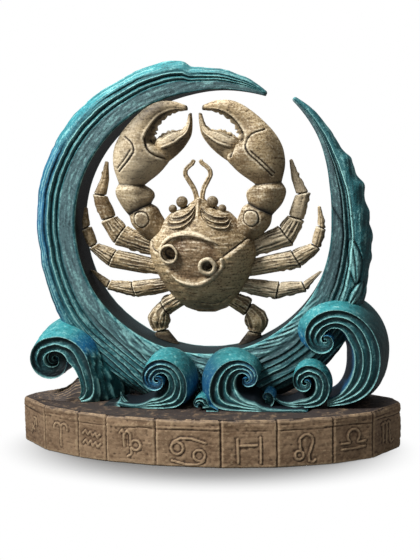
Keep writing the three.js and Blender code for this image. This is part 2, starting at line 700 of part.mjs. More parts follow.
const bone = new THREE.MeshStandardMaterial({ color: 0x8c7855, roughness: 0.62, metalness: 0 });
const eyeBlack = new THREE.MeshStandardMaterial({ color: 0x241c14, roughness: 0.35, metalness: 0 });
const seaTeal = new THREE.MeshStandardMaterial({ color: 0x46898c, roughness: 0.5, metalness: 0 });
const plinthBrown = new THREE.MeshStandardMaterial({ color: 0x8c6f52, roughness: 0.65, metalness: 0 });
const feltGrey = new THREE.MeshStandardMaterial({ color: 0x2a2a2c, roughness: 0.95, metalness: 0 });
const steel = new THREE.MeshStandardMaterial({ color: 0xb4b6b8, roughness: 0.4, metalness: 0.9 });

const base = new THREE.Group();
const waves = new THREE.Group();
const crab = new THREE.Group();

// Base and the dowels that hold the ring on it
let plinth = plinthSolid();
let ring = ringSolid(0).subtract(belowPlinthTop());
for (const [word, side] of Object.entries(SIDES)) {
  const low = new THREE.Vector3(RING_X + side * DOWEL.out, 0, PLINTH_TOP - DOWEL.length / 2);
  const high = low.clone().setZ(PLINTH_TOP + DOWEL.length / 2);
  const { pin, socket } = pinAndSocket(low, high, DOWEL.radius);
  plinth = plinth.subtract(socket);
  ring = ring.subtract(socket);
  base.add(meshOf(`ring_dowel_${word}`, pin, steel));
}
base.add(meshOf("felt_pad", feltSolid(), feltGrey));
base.add(meshOf("plinth", plinth, plinthBrown));

// Waves: the inner curls stand in front of the ring and the outer ones wrap round its flanks
const ringSpace = ringSolid(GLUE_GAP);
const cutBy = {
  wave_left_outer: ["wave_centre_left"],
  wave_right_small: ["wave_centre_right"],
  wave_right_outer: ["wave_right_small"],
  wave_centre_bud: ["wave_centre_left", "wave_centre_right"],
  wave_low_right: ["wave_centre_right", "wave_right_small"],
  wave_low_left: ["wave_centre_left", "wave_left_outer"],
};
for (const name of Object.keys(CURLS)) {
  let curl = curlSolid(name, 0).subtract(belowPlinthTop()).subtract(ringSpace);
  for (const neighbour of cutBy[name] ?? []) {
    curl = curl.subtract(curlSolid(neighbour, GLUE_GAP));
  }
  waves.add(meshOf(name, curl, seaTeal));
}
const spray = spraySolid().subtract(curlSolid("wave_left_outer", GLUE_GAP)).subtract(ringSpace);
waves.add(meshOf("wave_spray", spray, plinthBrown));

// Crab: limbs end at the body with a glue line, and its feet stand on the ring's floor
let carapace = carapaceSolid(0);
const body = bodySpace();
for (const [word, side] of Object.entries(SIDES)) {
  const pinMiddle = crabPoint(side, ARM_PIN.out, ARM_PIN.up, ARM_PIN.forward);
  const slope = THREE.MathUtils.degToRad(ARM_PIN.slope);
  const halfPin = new THREE.Vector3(side * Math.cos(slope), 0, Math.sin(slope)).multiplyScalar(ARM_PIN.length / 2);
  const armPin = pinAndSocket(pinMiddle.clone().sub(halfPin), pinMiddle.clone().add(halfPin), ARM_PIN.radius);
  carapace = carapace.subtract(armPin.socket);
  crab.add(meshOf(`arm_pin_${word}`, armPin.pin, steel));

  const claw = 2;
  const arm = limbSolid(side, ARM, claw, { glueEnd: true }).add(armBoss(side, claw));
  const armSpace = limbSolid(side, ARM, claw, { grow: GLUE_GAP });
  crab.add(meshOf(`arm_${word}`, arm.subtract(body).subtract(armPin.socket), bone));
  const wristSections = [WRIST[0], ...movedOut(WRIST.slice(1), CLAW_SHIFT[word])];
  const wrist = limbSolid(side, wristSections, claw, { glueStart: true, glueEnd: true });
  crab.add(meshOf(`wrist_${word}`, wrist, bone));
  const palmSections = movedOut(PALM, CLAW_SHIFT[word]);
  const palm = limbSolid(side, palmSections, claw, { glueStart: true });
  const toothed = palm.add(teeth(side, palmSections[3], palmSections[6], claw)).subtract(ringSpace);
  crab.add(meshOf(`palm_${word}`, toothed, bone));
  const palmSpace = limbSolid(side, palmSections, claw, { grow: GLUE_GAP });
  const fingerSections = movedOut(FINGER, CLAW_SHIFT[word]);
  const bite = teeth(side, fingerSections[1], fingerSections[3], claw);
  const finger = limbSolid(side, fingerSections, claw).add(bite);
  crab.add(meshOf(`finger_${word}`, finger.subtract(palmSpace), bone));

  const footLow = crabPoint(side, FOOT_PIN.out, onFloor(FOOT_PIN.out)[1], 0);
  footLow.z -= FOOT_PIN.length / 2;
  const footHigh = footLow.clone().setZ(footLow.z + FOOT_PIN.length);
  const footPin = pinAndSocket(footLow, footHigh, FOOT_PIN.radius);
  ring = ring.subtract(footPin.socket);
  crab.add(meshOf(`foot_pin_${word}`, footPin.pin, steel));
  for (const [name, sections] of Object.entries(LEGS)) {
    const clear = legSolid(side, sections).subtract(body).subtract(armSpace);
    const leg = clear.subtract(ringSpace).subtract(footPin.socket);
    crab.add(meshOf(`${name}_${word}`, leg, bone));
  }

  const largeEye = eyeSolid(side, LARGE_EYE, 0).subtract(body);
  const smallEye = eyeSolid(side, SMALL_EYE, 0).subtract(body).subtract(armSpace);
  crab.add(meshOf(`eye_large_${word}`, largeEye, eyeBlack));
  crab.add(meshOf(`eye_small_${word}`, smallEye, eyeBlack));
  crab.add(meshOf(`antenna_${word}`, antennaSolid(side), bone));
  const eyeSpace = eyeSolid(side, LARGE_EYE, GLUE_GAP).add(eyeSolid(side, SMALL_EYE, GLUE_GAP));
  const brow = shellRelief([browShape(side)], BROW_RELIEF).subtract(eyeSpace).subtract(armSpace);
  crab.add(meshOf(`brow_${word}`, brow, bone));
}
crab.add(meshOf("carapace", carapace, bone));
crab.add(meshOf("belly_shell", bellySolid(0), bone));
crab.add(meshOf("emblem_upper", shellRelief([strokeShape(SIGN_UPPER), cupShape(UPPER_CUP)], RELIEF), bone));
crab.add(meshOf("emblem_lower", shellRelief([strokeShape(SIGN_LOWER), cupShape(LOWER_CUP)], RELIEF), bone));
waves.add(meshOf("crescent_ring", ring, seaTeal));

const statuette = new THREE.Group();
statuette.name = "crab_statuette";
statuette.add(base, waves, crab);

export default statuette;
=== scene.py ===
"""Crab statuette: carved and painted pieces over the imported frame, with the photograph's camera and light."""
import logging
import math
from dataclasses import dataclass, field
from enum import Enum

import bpy
import numpy as np
from mathutils import Matrix, Vector


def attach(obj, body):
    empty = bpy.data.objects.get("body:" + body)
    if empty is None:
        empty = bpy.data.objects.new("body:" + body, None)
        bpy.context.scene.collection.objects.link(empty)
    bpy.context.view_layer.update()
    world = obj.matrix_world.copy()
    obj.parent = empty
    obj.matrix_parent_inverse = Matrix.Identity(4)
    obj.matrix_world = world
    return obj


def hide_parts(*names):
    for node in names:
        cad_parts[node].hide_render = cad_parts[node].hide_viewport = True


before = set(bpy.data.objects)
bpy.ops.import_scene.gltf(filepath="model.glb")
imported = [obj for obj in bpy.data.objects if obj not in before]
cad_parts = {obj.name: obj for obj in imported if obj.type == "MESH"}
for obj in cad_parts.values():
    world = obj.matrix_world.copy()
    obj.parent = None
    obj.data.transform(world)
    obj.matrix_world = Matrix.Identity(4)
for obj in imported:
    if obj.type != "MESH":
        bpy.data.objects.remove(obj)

LOG = logging.getLogger("crab_statuette")
MM = 0.001  # pieces are sized in millimetres and written in metres
BODY = "root"
PLINTH_TOP = 19.7
RING_X = -0.5
RING_Z = 95.1
RING_RADIUS = 55.3
WAVE_WEAR = (0.45, 1.6)  # heights of a fine and of a broad relief of 1
LIMB_WEAR = (0.2, 0.9)

Array = np.ndarray
Point = tuple[float, float]
Stroke = list[Point]
Points = tuple[Point, ...]
Spot = tuple[float, float, float]
Material = bpy.types.Material
Socket = bpy.types.NodeSocket
Colour = tuple[float, float, float]
HASH = (374761393, 668265263, 974711)  # scatter a cell's column, row and seed
HASH_AGAIN = 1274126177


class Side(Enum):
    """Side of the crab as the viewer sees it."""

    LEFT = -1
    RIGHT = 1

    @property
    def word(self) -> str:
        """Ending of the node names on this side."""
        return self.name.lower()


class Slot(Enum):
    """Material slots of the record."""

    PLINTH = "plinth_cast"
    WAVE = "wave_cast"
    CRAB = "crab_cast"


def ease(low: float, high: float, value: Array) -> Array:
    """Soft step from 0 at the first value to 1 at the second."""
    share = np.clip((value - low) / (high - low), 0, 1)
    return share * share * (3 - 2 * share)


def window(start: Point, end: Point, value: Array) -> Array:
    """Soft plateau that rises from 0 to 1 over its start and falls back over its end."""
    return ease(*start, value) * (1 - ease(*end, value))


def bell(value: Array, centre: float, width: float) -> Array:
    """Rounded bump of height 1 about a centre."""
    return np.exp(-(((value - centre) / width) ** 2))


def flute(phase: Array) -> Array:
    """Hollows between sharp crests, one to each whole number of the phase."""
    share = phase - np.floor(phase)
    return np.sin(np.pi * share) ** 0.75


def grain(x: Array, y: Array, seed: int) -> Array:
    """Smooth random relief on a plane.

    Args:
        x: First coordinate, one bump to each whole number.
        y: Second coordinate.
        seed: Picks one of many patterns.

    Returns:
        Values from -1 to 1.
    """
    x, y = np.broadcast_arrays(np.asarray(x, float), np.asarray(y, float))
    column = np.floor(x).astype(np.int64)
    row = np.floor(y).astype(np.int64)
    across = ease(0, 1, x - column)
    along = ease(0, 1, y - row)

    def corner(right: int, up: int) -> Array:
        """Random value at one corner of each cell.

        Args:
            right: 0 or 1 column on.
            up: 0 or 1 row on.

        Returns:
            Values from -1 to 1.
        """
        mixed = (column + right) * HASH[0] + (row + up) * HASH[1] + seed * HASH[2]
        mixed = ((mixed ^ (mixed >> 13)) * HASH_AGAIN) & 0xFFFFFFFF
        return ((mixed ^ (mixed >> 16)) & 0xFFFF) / 32767.5 - 1

    low = corner(0, 0) * (1 - across) + corner(1, 0) * across
    high = corner(0, 1) * (1 - across) + corner(1, 1) * across
    return low * (1 - along) + high * along


def hermite(places: Array, values: Array, slopes: Array, at: Array) -> Array:
    """Cubic curve through keyed rows with given slopes.

    Args:
        places: Rising places of the rows.
        values: One row of values to each place.
        slopes: One row of slopes to each place.
        at: Places to look up.

    Returns:
        One row of values to each place looked up.
    """
    found = np.clip(np.searchsorted(places, at, side="right") - 1, 0, len(places) - 2)
    span = (places[found + 1] - places[found])[:, None]
    share = (at - places[found])[:, None] / span
    back = 1 - share
    ends = values[found] * (1 + 2 * share) * back**2 + values[found + 1] * share**2 * (3 - 2 * share)
    return ends + span * share * back * (slopes[found] * back - slopes[found + 1] * share)


def track(places: Array, values: Array, at: Array) -> Array:
    """Smooth values through keyed rows, without overshoot.

    Args:
        places: Rising places of the rows.
        values: One row of values to each place.
        at: Places to look up.

    Returns:
        One row of values to each place looked up.
    """
    places = np.asarray(places, float)
    values = np.asarray(values, float).reshape(len(places), -1)
    rise = np.diff(values, axis=0) / np.diff(places)[:, None]
    agree = rise[:-1] * rise[1:] > 0
    total = np.where(agree, rise[:-1] + rise[1:], 1)
    middle = np.where(agree, 2 * rise[:-1] * rise[1:] / total, 0)
    return hermite(places, values, np.vstack([rise[:1], middle, rise[-1:]]), np.asarray(at, float))


def unit(rows: Array) -> Array:
    """Directions of length 1 along some rows."""
    return rows / np.linalg.norm(rows, axis=-1, keepdims=True)


def dome_turns(over: int, under: int) -> Array:
    """Angles once round a section, with more columns over the dome than under it."""
    return np.concatenate([np.linspace(0, np.pi, over), np.linspace(np.pi, 2 * np.pi, under)[1:]])


def chord_places(points: Array) -> Array:
    """Length along a row of points, at each point."""
    steps = np.linalg.norm(np.diff(points, axis=0), axis=1)
    return np.concatenate([[0], np.cumsum(steps)])


def bend_through(points: Points, count: int) -> Array:
    """Rounded line through a few points.

    Args:
        points: Points in two or three dimensions.
        count: Number of points on the line.

    Returns:
        Points evenly spaced by chord length.
    """
    points = np.asarray(points, float)
    places = chord_places(points)
    rise = np.gradient(points, places, axis=0)
    return hermite(places, points, rise, np.linspace(0, places[-1], count))


def arc(centre: Point, radius: float, start: float, end: float, count: int = 18) -> Stroke:
    """Round stretch of a stroke, from one angle to another in degrees."""
    turns = np.radians(np.linspace(start, end, count))
    return [(centre[0] + radius * math.cos(turn), centre[1] + radius * math.sin(turn)) for turn in turns]


def distance_to(strokes: list[Stroke | Array], x: Array, y: Array) -> Array:
    """Distance from points on a plane to the nearest of some strokes.

    Args:
        strokes: Rows of points, joined by straight lines.
        x: First coordinate of each point.
        y: Second coordinate of each point.

    Returns:
        Distance of each point.
    """
    nearest = np.full(np.shape(x), np.inf)
    for stroke in strokes:
        for (x0, y0), (x1, y1) in zip(stroke[:-1], stroke[1:]):
            run = (x1 - x0) ** 2 + (y1 - y0) ** 2
            share = np.clip(((x - x0) * (x1 - x0) + (y - y0) * (y1 - y0)) / max(run, 1e-9), 0, 1)
            away = np.hypot(x - x0 - share * (x1 - x0), y - y0 - share * (y1 - y0))
            nearest = np.minimum(nearest, away)
    return nearest


def carved_line(points: Points, count: int, x: Array, y: Array, width: float) -> Array:
    """1 on a rounded line through a few points of a plane, falling to 0 over a width beside it."""
    return bell(distance_to([bend_through(points, count)], x, y), 0, width)


def linear(red: int, green: int, blue: int) -> Colour:
    """Linear colour of a screen colour given from 0 to 255."""
    shares = [value / 255 for value in (red, green, blue)]
    return tuple(s / 12.92 if s <= 0.04045 else ((s + 0.055) / 1.055) ** 2.4 for s in shares)


@dataclass
class Sheet:
    """Grid of points over a surface, with painted values that follow it.

    Attributes:
        points: Rows by columns by three, in millimetres.
        paint: Named values, rows by columns.
        wraps: Whether the last column repeats the first.
    """

    points: Array
    paint: dict[str, Array] = field(default_factory=dict)
    wraps: bool = True

    def normals(self) -> Array:
        """Directions out of the surface, one to each point.

        Returns:
            Directions of length 1.
        """
        along = np.gradient(self.points, axis=0)
        if self.wraps:
            ring = self.points[:, :-1]
            across = np.roll(ring, -1, axis=1) - np.roll(ring, 1, axis=1)
            across = np.concatenate([across, across[:, :1]], axis=1)
        else:
            across = np.gradient(self.points, axis=1)
        out = np.cross(across, along)
        out /= np.linalg.norm(out, axis=2, keepdims=True) + 1e-12
        middle = self.points.mean(axis=1, keepdims=True)
        facing = np.sum(out * (self.points - middle))
        return out if facing > 0 else -out

    def push(self, height: Array) -> "Sheet":
        """Moves the surface along its normals and returns it."""
        self.points = self.points + self.normals() * np.asarray(height)[..., None]
        return self

    def over(self, level: float) -> "Sheet":
        """Lifts what lies under a level up to it and returns the surface."""
        self.points[..., 2] = np.maximum(self.points[..., 2], level)
        return self

    def round_ends(self, start: float, end: float, steps: int = 6) -> "Sheet":
        """Closes both ends with a rounded cap.

        Args:
            start: Height of the cap on the first row.
            end: Height of the cap on the last row.
            steps: Rows of each cap.

        Returns:
            The same sheet.
        """
        first = self._cap(self.points[0], self.points[1], start, steps)[::-1]
        last = self._cap(self.points[-1], self.points[-2], end, steps)
        self.points = np.concatenate([first, self.points, last])
        for name, values in self.paint.items():
            before = np.repeat(values[:1], steps, axis=0)
            after = np.repeat(values[-1:], steps, axis=0)
            self.paint[name] = np.concatenate([before, values, after])
        return self

    @staticmethod
    def _cap(row: Array, inner: Array, height: float, steps: int) -> Array:
        """Rows of a rounded cap.

        Args:
            row: End row of the sheet.
            inner: Row before it.
            height: Height of the cap.
            steps: Number of rows.

        Returns:
            Rows from the end row to the point of its cap.
        """
        middle = row.mean(axis=0)
        axis = middle - inner.mean(axis=0)
        axis /= np.linalg.norm(axis) + 1e-12
        turns = np.linspace(0, np.pi / 2, steps + 1)[1:]
        rows = [middle + (row - middle) * max(math.cos(turn), 0) + axis * height * math.sin(turn)
                for turn in turns]
        rows[-1] = np.broadcast_to(middle + axis * height, row.shape)
        return np.array(rows)


class Bench:
    """Blender's modelling tools, used as by hand."""

    MERGE = 2e-6
    FINE_TURNS = 5
    BROAD_TURNS = 40
    KEPT = 0.4
    # Direction of the light that the painted highlight and painted shade follow.
    LIGHT = (-0.37, 0.0, 0.93)

    @staticmethod
    def clear() -> None:
        """Leaves nothing selected."""
        bpy.ops.object.select_all(action="DESELECT")

    @staticmethod
    def read(items: bpy.types.bpy_prop_collection, key: str, width: int, kind: type = float) -> Array:
        """Values that a mesh holds.

        Args:
            items: Vertices, edges or triangles.
            key: Name of the value.
            width: Numbers to each item.
            kind: Type of the numbers.

        Returns:
            One row to each item.
        """
        values = np.empty(len(items) * width, dtype=kind)
        items.foreach_get(key, values)
        return values.reshape(-1, width)

    @staticmethod
    def note(mesh: bpy.types.Mesh, key: str, values: Array) -> None:
        """Writes one value to each vertex, under a name that the paint reads."""
        layer = mesh.attributes.new(key, "FLOAT", "POINT")
        layer.data.foreach_set("value", np.ascontiguousarray(values, dtype=np.float32).ravel())

    @classmethod
    def skin(cls, name: str, sheet: Sheet) -> bpy.types.Object:
        """Closed mesh over a sheet: a grid shaped point by point, welded, filled and turned outwards.

        Args:
            name: Name of the piece.
            sheet: Surface to follow.

        Returns:
            The new object.
        """
        rows, columns = sheet.points.shape[:2]
        cls.clear()
        bpy.ops.mesh.primitive_grid_add(x_subdivisions=columns - 1, y_subdivisions=rows - 1, size=1)
        piece = bpy.context.active_object
        piece.name = piece.data.name = name
        piece.data.vertices.foreach_set("co", (sheet.points * MM).ravel())
        for key, values in sheet.paint.items():
            cls.note(piece.data, key, values)
        bpy.ops.object.mode_set(mode="EDIT")
        bpy.ops.mesh.select_all(action="SELECT")
        bpy.ops.mesh.remove_doubles(threshold=cls.MERGE)
        bpy.ops.mesh.fill_holes(sides=0)
        bpy.ops.mesh.normals_make_consistent(inside=False)
        bpy.ops.object.mode_set(mode="OBJECT")
        if cls.volume(piece.data) < 0:
            bpy.ops.object.mode_set(mode="EDIT")
            bpy.ops.mesh.flip_normals()
            bpy.ops.object.mode_set(mode="OBJECT")
        bpy.ops.object.shade_smooth()
        return piece

    @classmethod
    def volume(cls, mesh: bpy.types.Mesh) -> float:
        """Volume inside a closed mesh.

        Args:
            mesh: Mesh to measure.

        Returns:
            Volume in cubic metres, negative where the faces turn inwards.
        """
        mesh.calc_loop_triangles()
        corners = cls.read(mesh.loop_triangles, "vertices", 3, np.int64)
        first, second, third = np.moveaxis(cls.read(mesh.vertices, "co", 3)[corners], 1, 0)
        return float(np.sum(first * np.cross(second, third)) / 6)

    @classmethod
    def weather(cls, mesh: bpy.types.Mesh, crest: float, hollow: float) -> None:
        """Adds the values that the paint follows: fine and broad relief, and how far a point faces the light.

        Args:
            mesh: Mesh to look at.
            crest: Height in millimetres of a fine relief of 1.
            hollow: Height in millimetres of a broad relief of 1.
        """
        points = cls.read(mesh.vertices, "co", 3) / MM
        normals = cls.read(mesh.vertices, "normal", 3)
        one, other = cls.read(mesh.edges, "vertices", 2, np.int64).T
        count = len(points)
        degree = np.bincount(one, minlength=count) + np.bincount(other, minlength=count)
        smooth = points.copy()
        relief = {}
        for turn in range(1, cls.BROAD_TURNS + 1):
            total = np.stack([
                np.bincount(one, smooth[other, axis], count) + np.bincount(other, smooth[one, axis], count)
                for axis in range(3)
            ], axis=1)
            smooth = cls.KEPT * smooth + (1 - cls.KEPT) * total / degree[:, None]
            if turn in (cls.FINE_TURNS, cls.BROAD_TURNS):
                relief[turn] = np.sum((points - smooth) * normals, axis=1)
        values = {
            "fine": relief[cls.FINE_TURNS] / crest,
            "broad": relief[cls.BROAD_TURNS] / hollow,
            # sky: how far each point faces that light, turned by the paints into painted highlight and painted
            # shade
            "sky": normals @ np.array(cls.LIGHT),
        }
        for key, column in values.items():
            cls.note(mesh, key, np.clip(column, -1, 1))

    @classmethod
    def dress(cls, name: str, sheet: Sheet, wear: Point, paint: Material, slot: Slot,
              *nodes: str) -> None:
        """Makes one finished piece, paints it, gives it its body and hides the nodes that it stands for.

        Args:
            name: Name of the piece.
            sheet: Surface to follow.
            wear: Heights in millimetres of a fine and of a broad relief of 1.
            paint: Its material.
            slot: Slot of the record; not used.
            nodes: CAD nodes that it replaces.
        """
        piece = cls.skin(name, sheet)
        cls.weather(piece.data, *wear)
        piece.data.materials.clear()
        piece.data.materials.append(paint)
        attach(piece, BODY)
        if nodes:
            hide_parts(*nodes)
        LOG.info("%s: %d triangles", name, sum(len(polygon.vertices) - 2 for polygon in piece.data.polygons))


class Mask:
    """Number that varies over a surface: a socket with arithmetic."""

    def __init__(self, paint: "Nodes", socket: Socket) -> None:
        """Wraps a socket of a node tree."""
        self.paint = paint
        self.socket = socket

    def _math(self, operation: str, first: object, second: object) -> "Mask":
        """Math node on two values."""
        node = self.paint.add("ShaderNodeMath", {"operation": operation}, {0: first, 1: second})
        return Mask(self.paint, node.outputs[0])

    def __add__(self, other: "Mask | float") -> "Mask":
        """Sum."""
        return self._math("ADD", self, other)

    __radd__ = __add__

    def __sub__(self, other: "Mask | float") -> "Mask":
        """Difference."""
        return self._math("SUBTRACT", self, other)

    def __rsub__(self, other: float) -> "Mask":
        """Difference with a number first."""
        return self._math("SUBTRACT", other, self)

    def __mul__(self, other: "Mask | float") -> "Mask":
        """Product."""
        return self._math("MULTIPLY", self, other)

    __rmul__ = __mul__

    def step(self, low: float, high: float) -> "Mask":
        """Soft step.

        Args:
            low: Value that gives 0.
            high: Value that gives 1.

        Returns:
            Share from 0 to 1.
        """
        inputs = {"Value": self, "From Min": low, "From Max": high}
        node = self.paint.add("ShaderNodeMapRange", {"interpolation_type": "SMOOTHSTEP"}, inputs)
        return Mask(self.paint, node.outputs["Result"])


class Nodes:
    """Node tree with one way to add a node."""

    def __init__(self, tree: bpy.types.NodeTree) -> None:
        """Empties a tree."""
        self.tree = tree
        self.tree.nodes.clear()

    def add(self, kind: str, settings: dict, inputs: dict) -> bpy.types.Node:
        """Adds a node.

        Args:
            kind: Type of the node.
            settings: Properties, set first.
            inputs: Values or links by socket name or index.

        Returns:
            The new node.
        """
        node = self.tree.nodes.new(kind)
        for key, value in settings.items():
            setattr(node, key, value)
        for key, value in inputs.items():
            if isinstance(value, Mask):
                value = value.socket
            if isinstance(value, Socket):
                self.tree.links.new(value, node.inputs[key])
            else:
                node.inputs[key].default_value = value
        return node


class Paint(Nodes):
    """Material under construction, with a painter's few moves."""

    SHARE, FIRST, SECOND, MIXED = 0, 6, 7, 2  # sockets of a Mix node for colours

    def __init__(self, name: str) -> None:
        """Starts an empty material.

        Args:
            name: Name of the material.
        """
        self.material = bpy.data.materials.new(name)
        self.material.use_nodes = True
        super().__init__(self.material.node_tree)
        self.place = self.add("ShaderNodeTexCoord", {}, {}).outputs["Object"]

    def vector(self, operation: str, *values: object) -> Socket:
        """Vector Math node on one or two values."""
        node = self.add("ShaderNodeVectorMath", {"operation": operation}, dict(enumerate(values)))
        return node.outputs["Value" if operation == "LENGTH" else "Vector"]

    def value(self, name: str) -> Mask:
        """Painted value that the mesh carries under a name."""
        node = self.add("ShaderNodeAttribute", {"attribute_name": name}, {})
        return Mask(self, node.outputs["Fac"])

    def mottle(self, stretch: Spot, detail: float = 4.0, rough: float = 0.6) -> Mask:
        """Noise on the piece's own coordinates.

        Args:
            stretch: Bumps per metre along X, Y and Z.
            detail: Octaves of noise.
            rough: Strength of the finer octaves.

        Returns:
            Noise from about 0.2 to 0.8.
        """
        scaled = self.vector("MULTIPLY", self.place, stretch)
        inputs = {"Vector": scaled, "Scale": 1.0, "Detail": detail, "Roughness": rough}
        return Mask(self, self.add("ShaderNodeTexNoise", {}, inputs).outputs["Fac"])

    def blend(self, share: Mask | float, first: object, second: object) -> Socket:
        """Mix of two colours.

        Args:
            share: Share of the second colour.
            first: Colour or colour socket.
            second: Colour or colour socket.

        Returns:
            Colour socket.
        """
        pick = [value if isinstance(value, Socket) else (*value, 1) for value in (first, second)]
        inputs = {self.SHARE: share, self.FIRST: pick[0], self.SECOND: pick[1]}
        return self.add("ShaderNodeMix", {"data_type": "RGBA"}, inputs).outputs[self.MIXED]

    def coats(self, colour: object, *coats: tuple[Mask | float, object]) -> Socket:
        """Colour under several coats.

        Args:
            colour: Ground colour.
            coats: Share and colour of each coat, from the first to the last.

        Returns:
            Colour socket.
        """
        for share, over in coats:
            colour = self.blend(share, colour, over)
        return colour

    def seal(self, colour: Socket, rough: Mask | float, relief: Mask, depth: float,
             **sockets: float) -> Material:
        """Finishes the material.

        Args:
            colour: Base colour.
            rough: Roughness.
            relief: Height of the finest grain, from 0 to 1.
            depth: Height in metres of a relief of 1.
            sockets: Other values of the shader, by name with underscores for spaces.

        Returns:
            The finished material.
        """
        bump = self.add("ShaderNodeBump", {}, {"Strength": 0.8, "Distance": depth, "Height": relief})
        inputs = {"Base Color": colour, "Roughness": rough, "Normal": bump.outputs[0]}
        inputs.update({key.replace("_", " "): value for key, value in sockets.items()})
        shader = self.add("ShaderNodeBsdfPrincipled", {}, inputs)
        self.add("ShaderNodeOutputMaterial", {}, {"Surface": shader.outputs[0]})
        return self.material


@dataclass(frozen=True)
class BonePaint:
    """Antique bone of the crab: a dark wash in the seams and dry-brushed edges, with painted highlight on faces
    towards the light, and painted shade on faces turned down, in hollows and where the ring shades the left
    palm.
    """

    body: Colour = linear(192, 168, 128)
    shade: Colour = linear(106, 83, 53)
    # wash: dark brown of the antique wash, also the colour of the painted shade
    wash: Colour = linear(22, 15, 9)
    # edge: pale of the dry-brushed edges, also the colour of the painted highlight
    edge: Colour = linear(240, 226, 196)
    ruddy: Colour = linear(96, 68, 48)

    def mix(self) -> Material:
        """Builds the material.

        Returns:
            The finished material.
        """
        paint = Paint("antique_bone")
        fine, broad, sky = map(paint.value, ("fine", "broad", "sky"))
        cloud = paint.mottle((70, 70, 60))
        speck = paint.mottle((1200, 1200, 1200), 3)
        hatch = paint.mottle((260, 260, 1300), 3)
        brushed = speck * 0.8 + hatch * 0.8
        colour = paint.coats(
            self.body,
            ((cloud * 0.9 + hatch * 0.25).step(0.48, 0.76), self.shade),
            (paint.value("ruddy") * 0.75, self.ruddy),
            (brushed.step(0.82, 0.64) * 0.75, self.shade),
            # pale: dry-brushed tops, and painted highlight on the left claw and the right legs
            (paint.value("pale") * 0.5, self.edge),
            # dry-brush on fine crests, plus painted highlight on faces towards the light
            ((brushed * 1.3 + fine * 0.6 + sky * 0.2).step(1.06, 1.5) * 0.8, self.edge),
            # painted shade on faces turned down
            ((0.1 - sky).step(0.0, 1.0) * 0.45, self.wash),
            # dark wash in broad hollows, deepened as painted shade
            ((0 - broad).step(0.05, 0.7) * 0.9, self.wash),
            (((0 - fine) - brushed * 1.8 + 1.46).step(0.1, 0.6) * 0.92, self.wash),
            # dark wash in seams, grooves, bores and on the eyes, plus painted shadow under the finger, along
            # the foot of the sign's strokes and where the ring shades the left palm
            (paint.value("wash_and_shade") * 0.9, self.wash),
        )
        relief = speck * 0.6 + hatch * 0.4
        return paint.seal(colour, 0.5 + speck * 0.2, relief, 0.0004, Specular_IOR_Level=0.4)


@dataclass(frozen=True)
class SeaPaint:
    """Teal of the waves, with aqua crest lines, black steps, blue flanks and a grey inner band; the black of
    the steps and of the inner walls is dark paint deepened as painted shade, and painted highlight and painted
    shade follow the light.
    """

    # deep: blackish teal of the wash, also the colour of the painted shade
    deep: Colour = linear(8, 24, 30)
    teal: Colour = linear(34, 94, 100)
    bright: Colour = linear(56, 148, 154)
    aqua: Colour = linear(164, 224, 220)
    blue: Colour = linear(20, 102, 152)
    band: Colour = linear(84, 112, 116)
    # wall: near black of the inner walls, also the colour of the painted shade
    wall: Colour = linear(11, 15, 19)

    def mix(self) -> Material:
        """Builds the material.

        Returns:
            The finished material.
        """
        paint = Paint("sea_teal")
        fine, broad, sky, rim = map(paint.value, ("fine", "broad", "sky", "rim"))
        bright, blue, dusk = map(paint.value, ("bright", "blue", "dusk"))
        cloud = paint.mottle((110, 110, 110), 5)
        speck = paint.mottle((900, 900, 900), 3, 0.65)
        stroke = speck * 0.8 + paint.value("stroke") * 0.2 + cloud * 0.2
        # painted highlight on faces towards the light, with the lighter paint of the flanks and the ring's top
        lit_and_bright = (sky * 0.5 + cloud * 0.4 + rim * 0.2 + bright * 0.55).step(0.25, 1.0)
        worn = (fine + speck * 0.9 - 0.5).step(0.25, 0.85)
        line = paint.value("crest") * (speck + cloud * 0.3).step(0.4, 0.66)
        inside = paint.coats(self.wall, (blue * 0.7, self.blue), (bright * (0.2 + cloud * 0.5), self.band))
        colour = paint.coats(
            self.teal,
            (lit_and_bright, self.bright),
            (blue * (0.5 + cloud * 0.8), self.blue),
            (paint.value("band") * 0.9, self.band),
            (stroke.step(0.52, 0.74) * (0.4 + lit_and_bright * 0.25), self.aqua),
            (stroke.step(0.46, 0.3) * 0.5, self.deep),
            # dark wash in broad hollows, deepened as painted shade
            ((0 - broad).step(0.1, 0.9) * 0.8, self.deep),
            # painted shade on faces turned down
            ((0 - sky).step(0.1, 0.9) * 0.6, self.deep),
            (((0 - fine) + speck * 0.4 - 0.2).step(0.08, 0.7) * 0.85, self.deep),
            # dark channels between crests: dark wash deepened as painted shadow
            (paint.value("step") * 0.9, self.deep),
            # painted shade on the right horn, the lower turns of some flanks, towards hollow eyes, on the backs
            # and at the lick's low ends
            (dusk * (0.55 + cloud * 0.6), self.wall),
            (worn * (0.45 - dusk * 0.4), self.aqua),
            (line * 0.95, self.aqua),
            # inner walls: dark paint, deepened as painted shade
            (paint.value("wall"), inside),
        )
        relief = paint.mottle((1500, 1500, 1500), 5, 0.7)
        return paint.seal(colour, 0.45 + speck * 0.2, relief, 0.0003, Specular_IOR_Level=0.35)


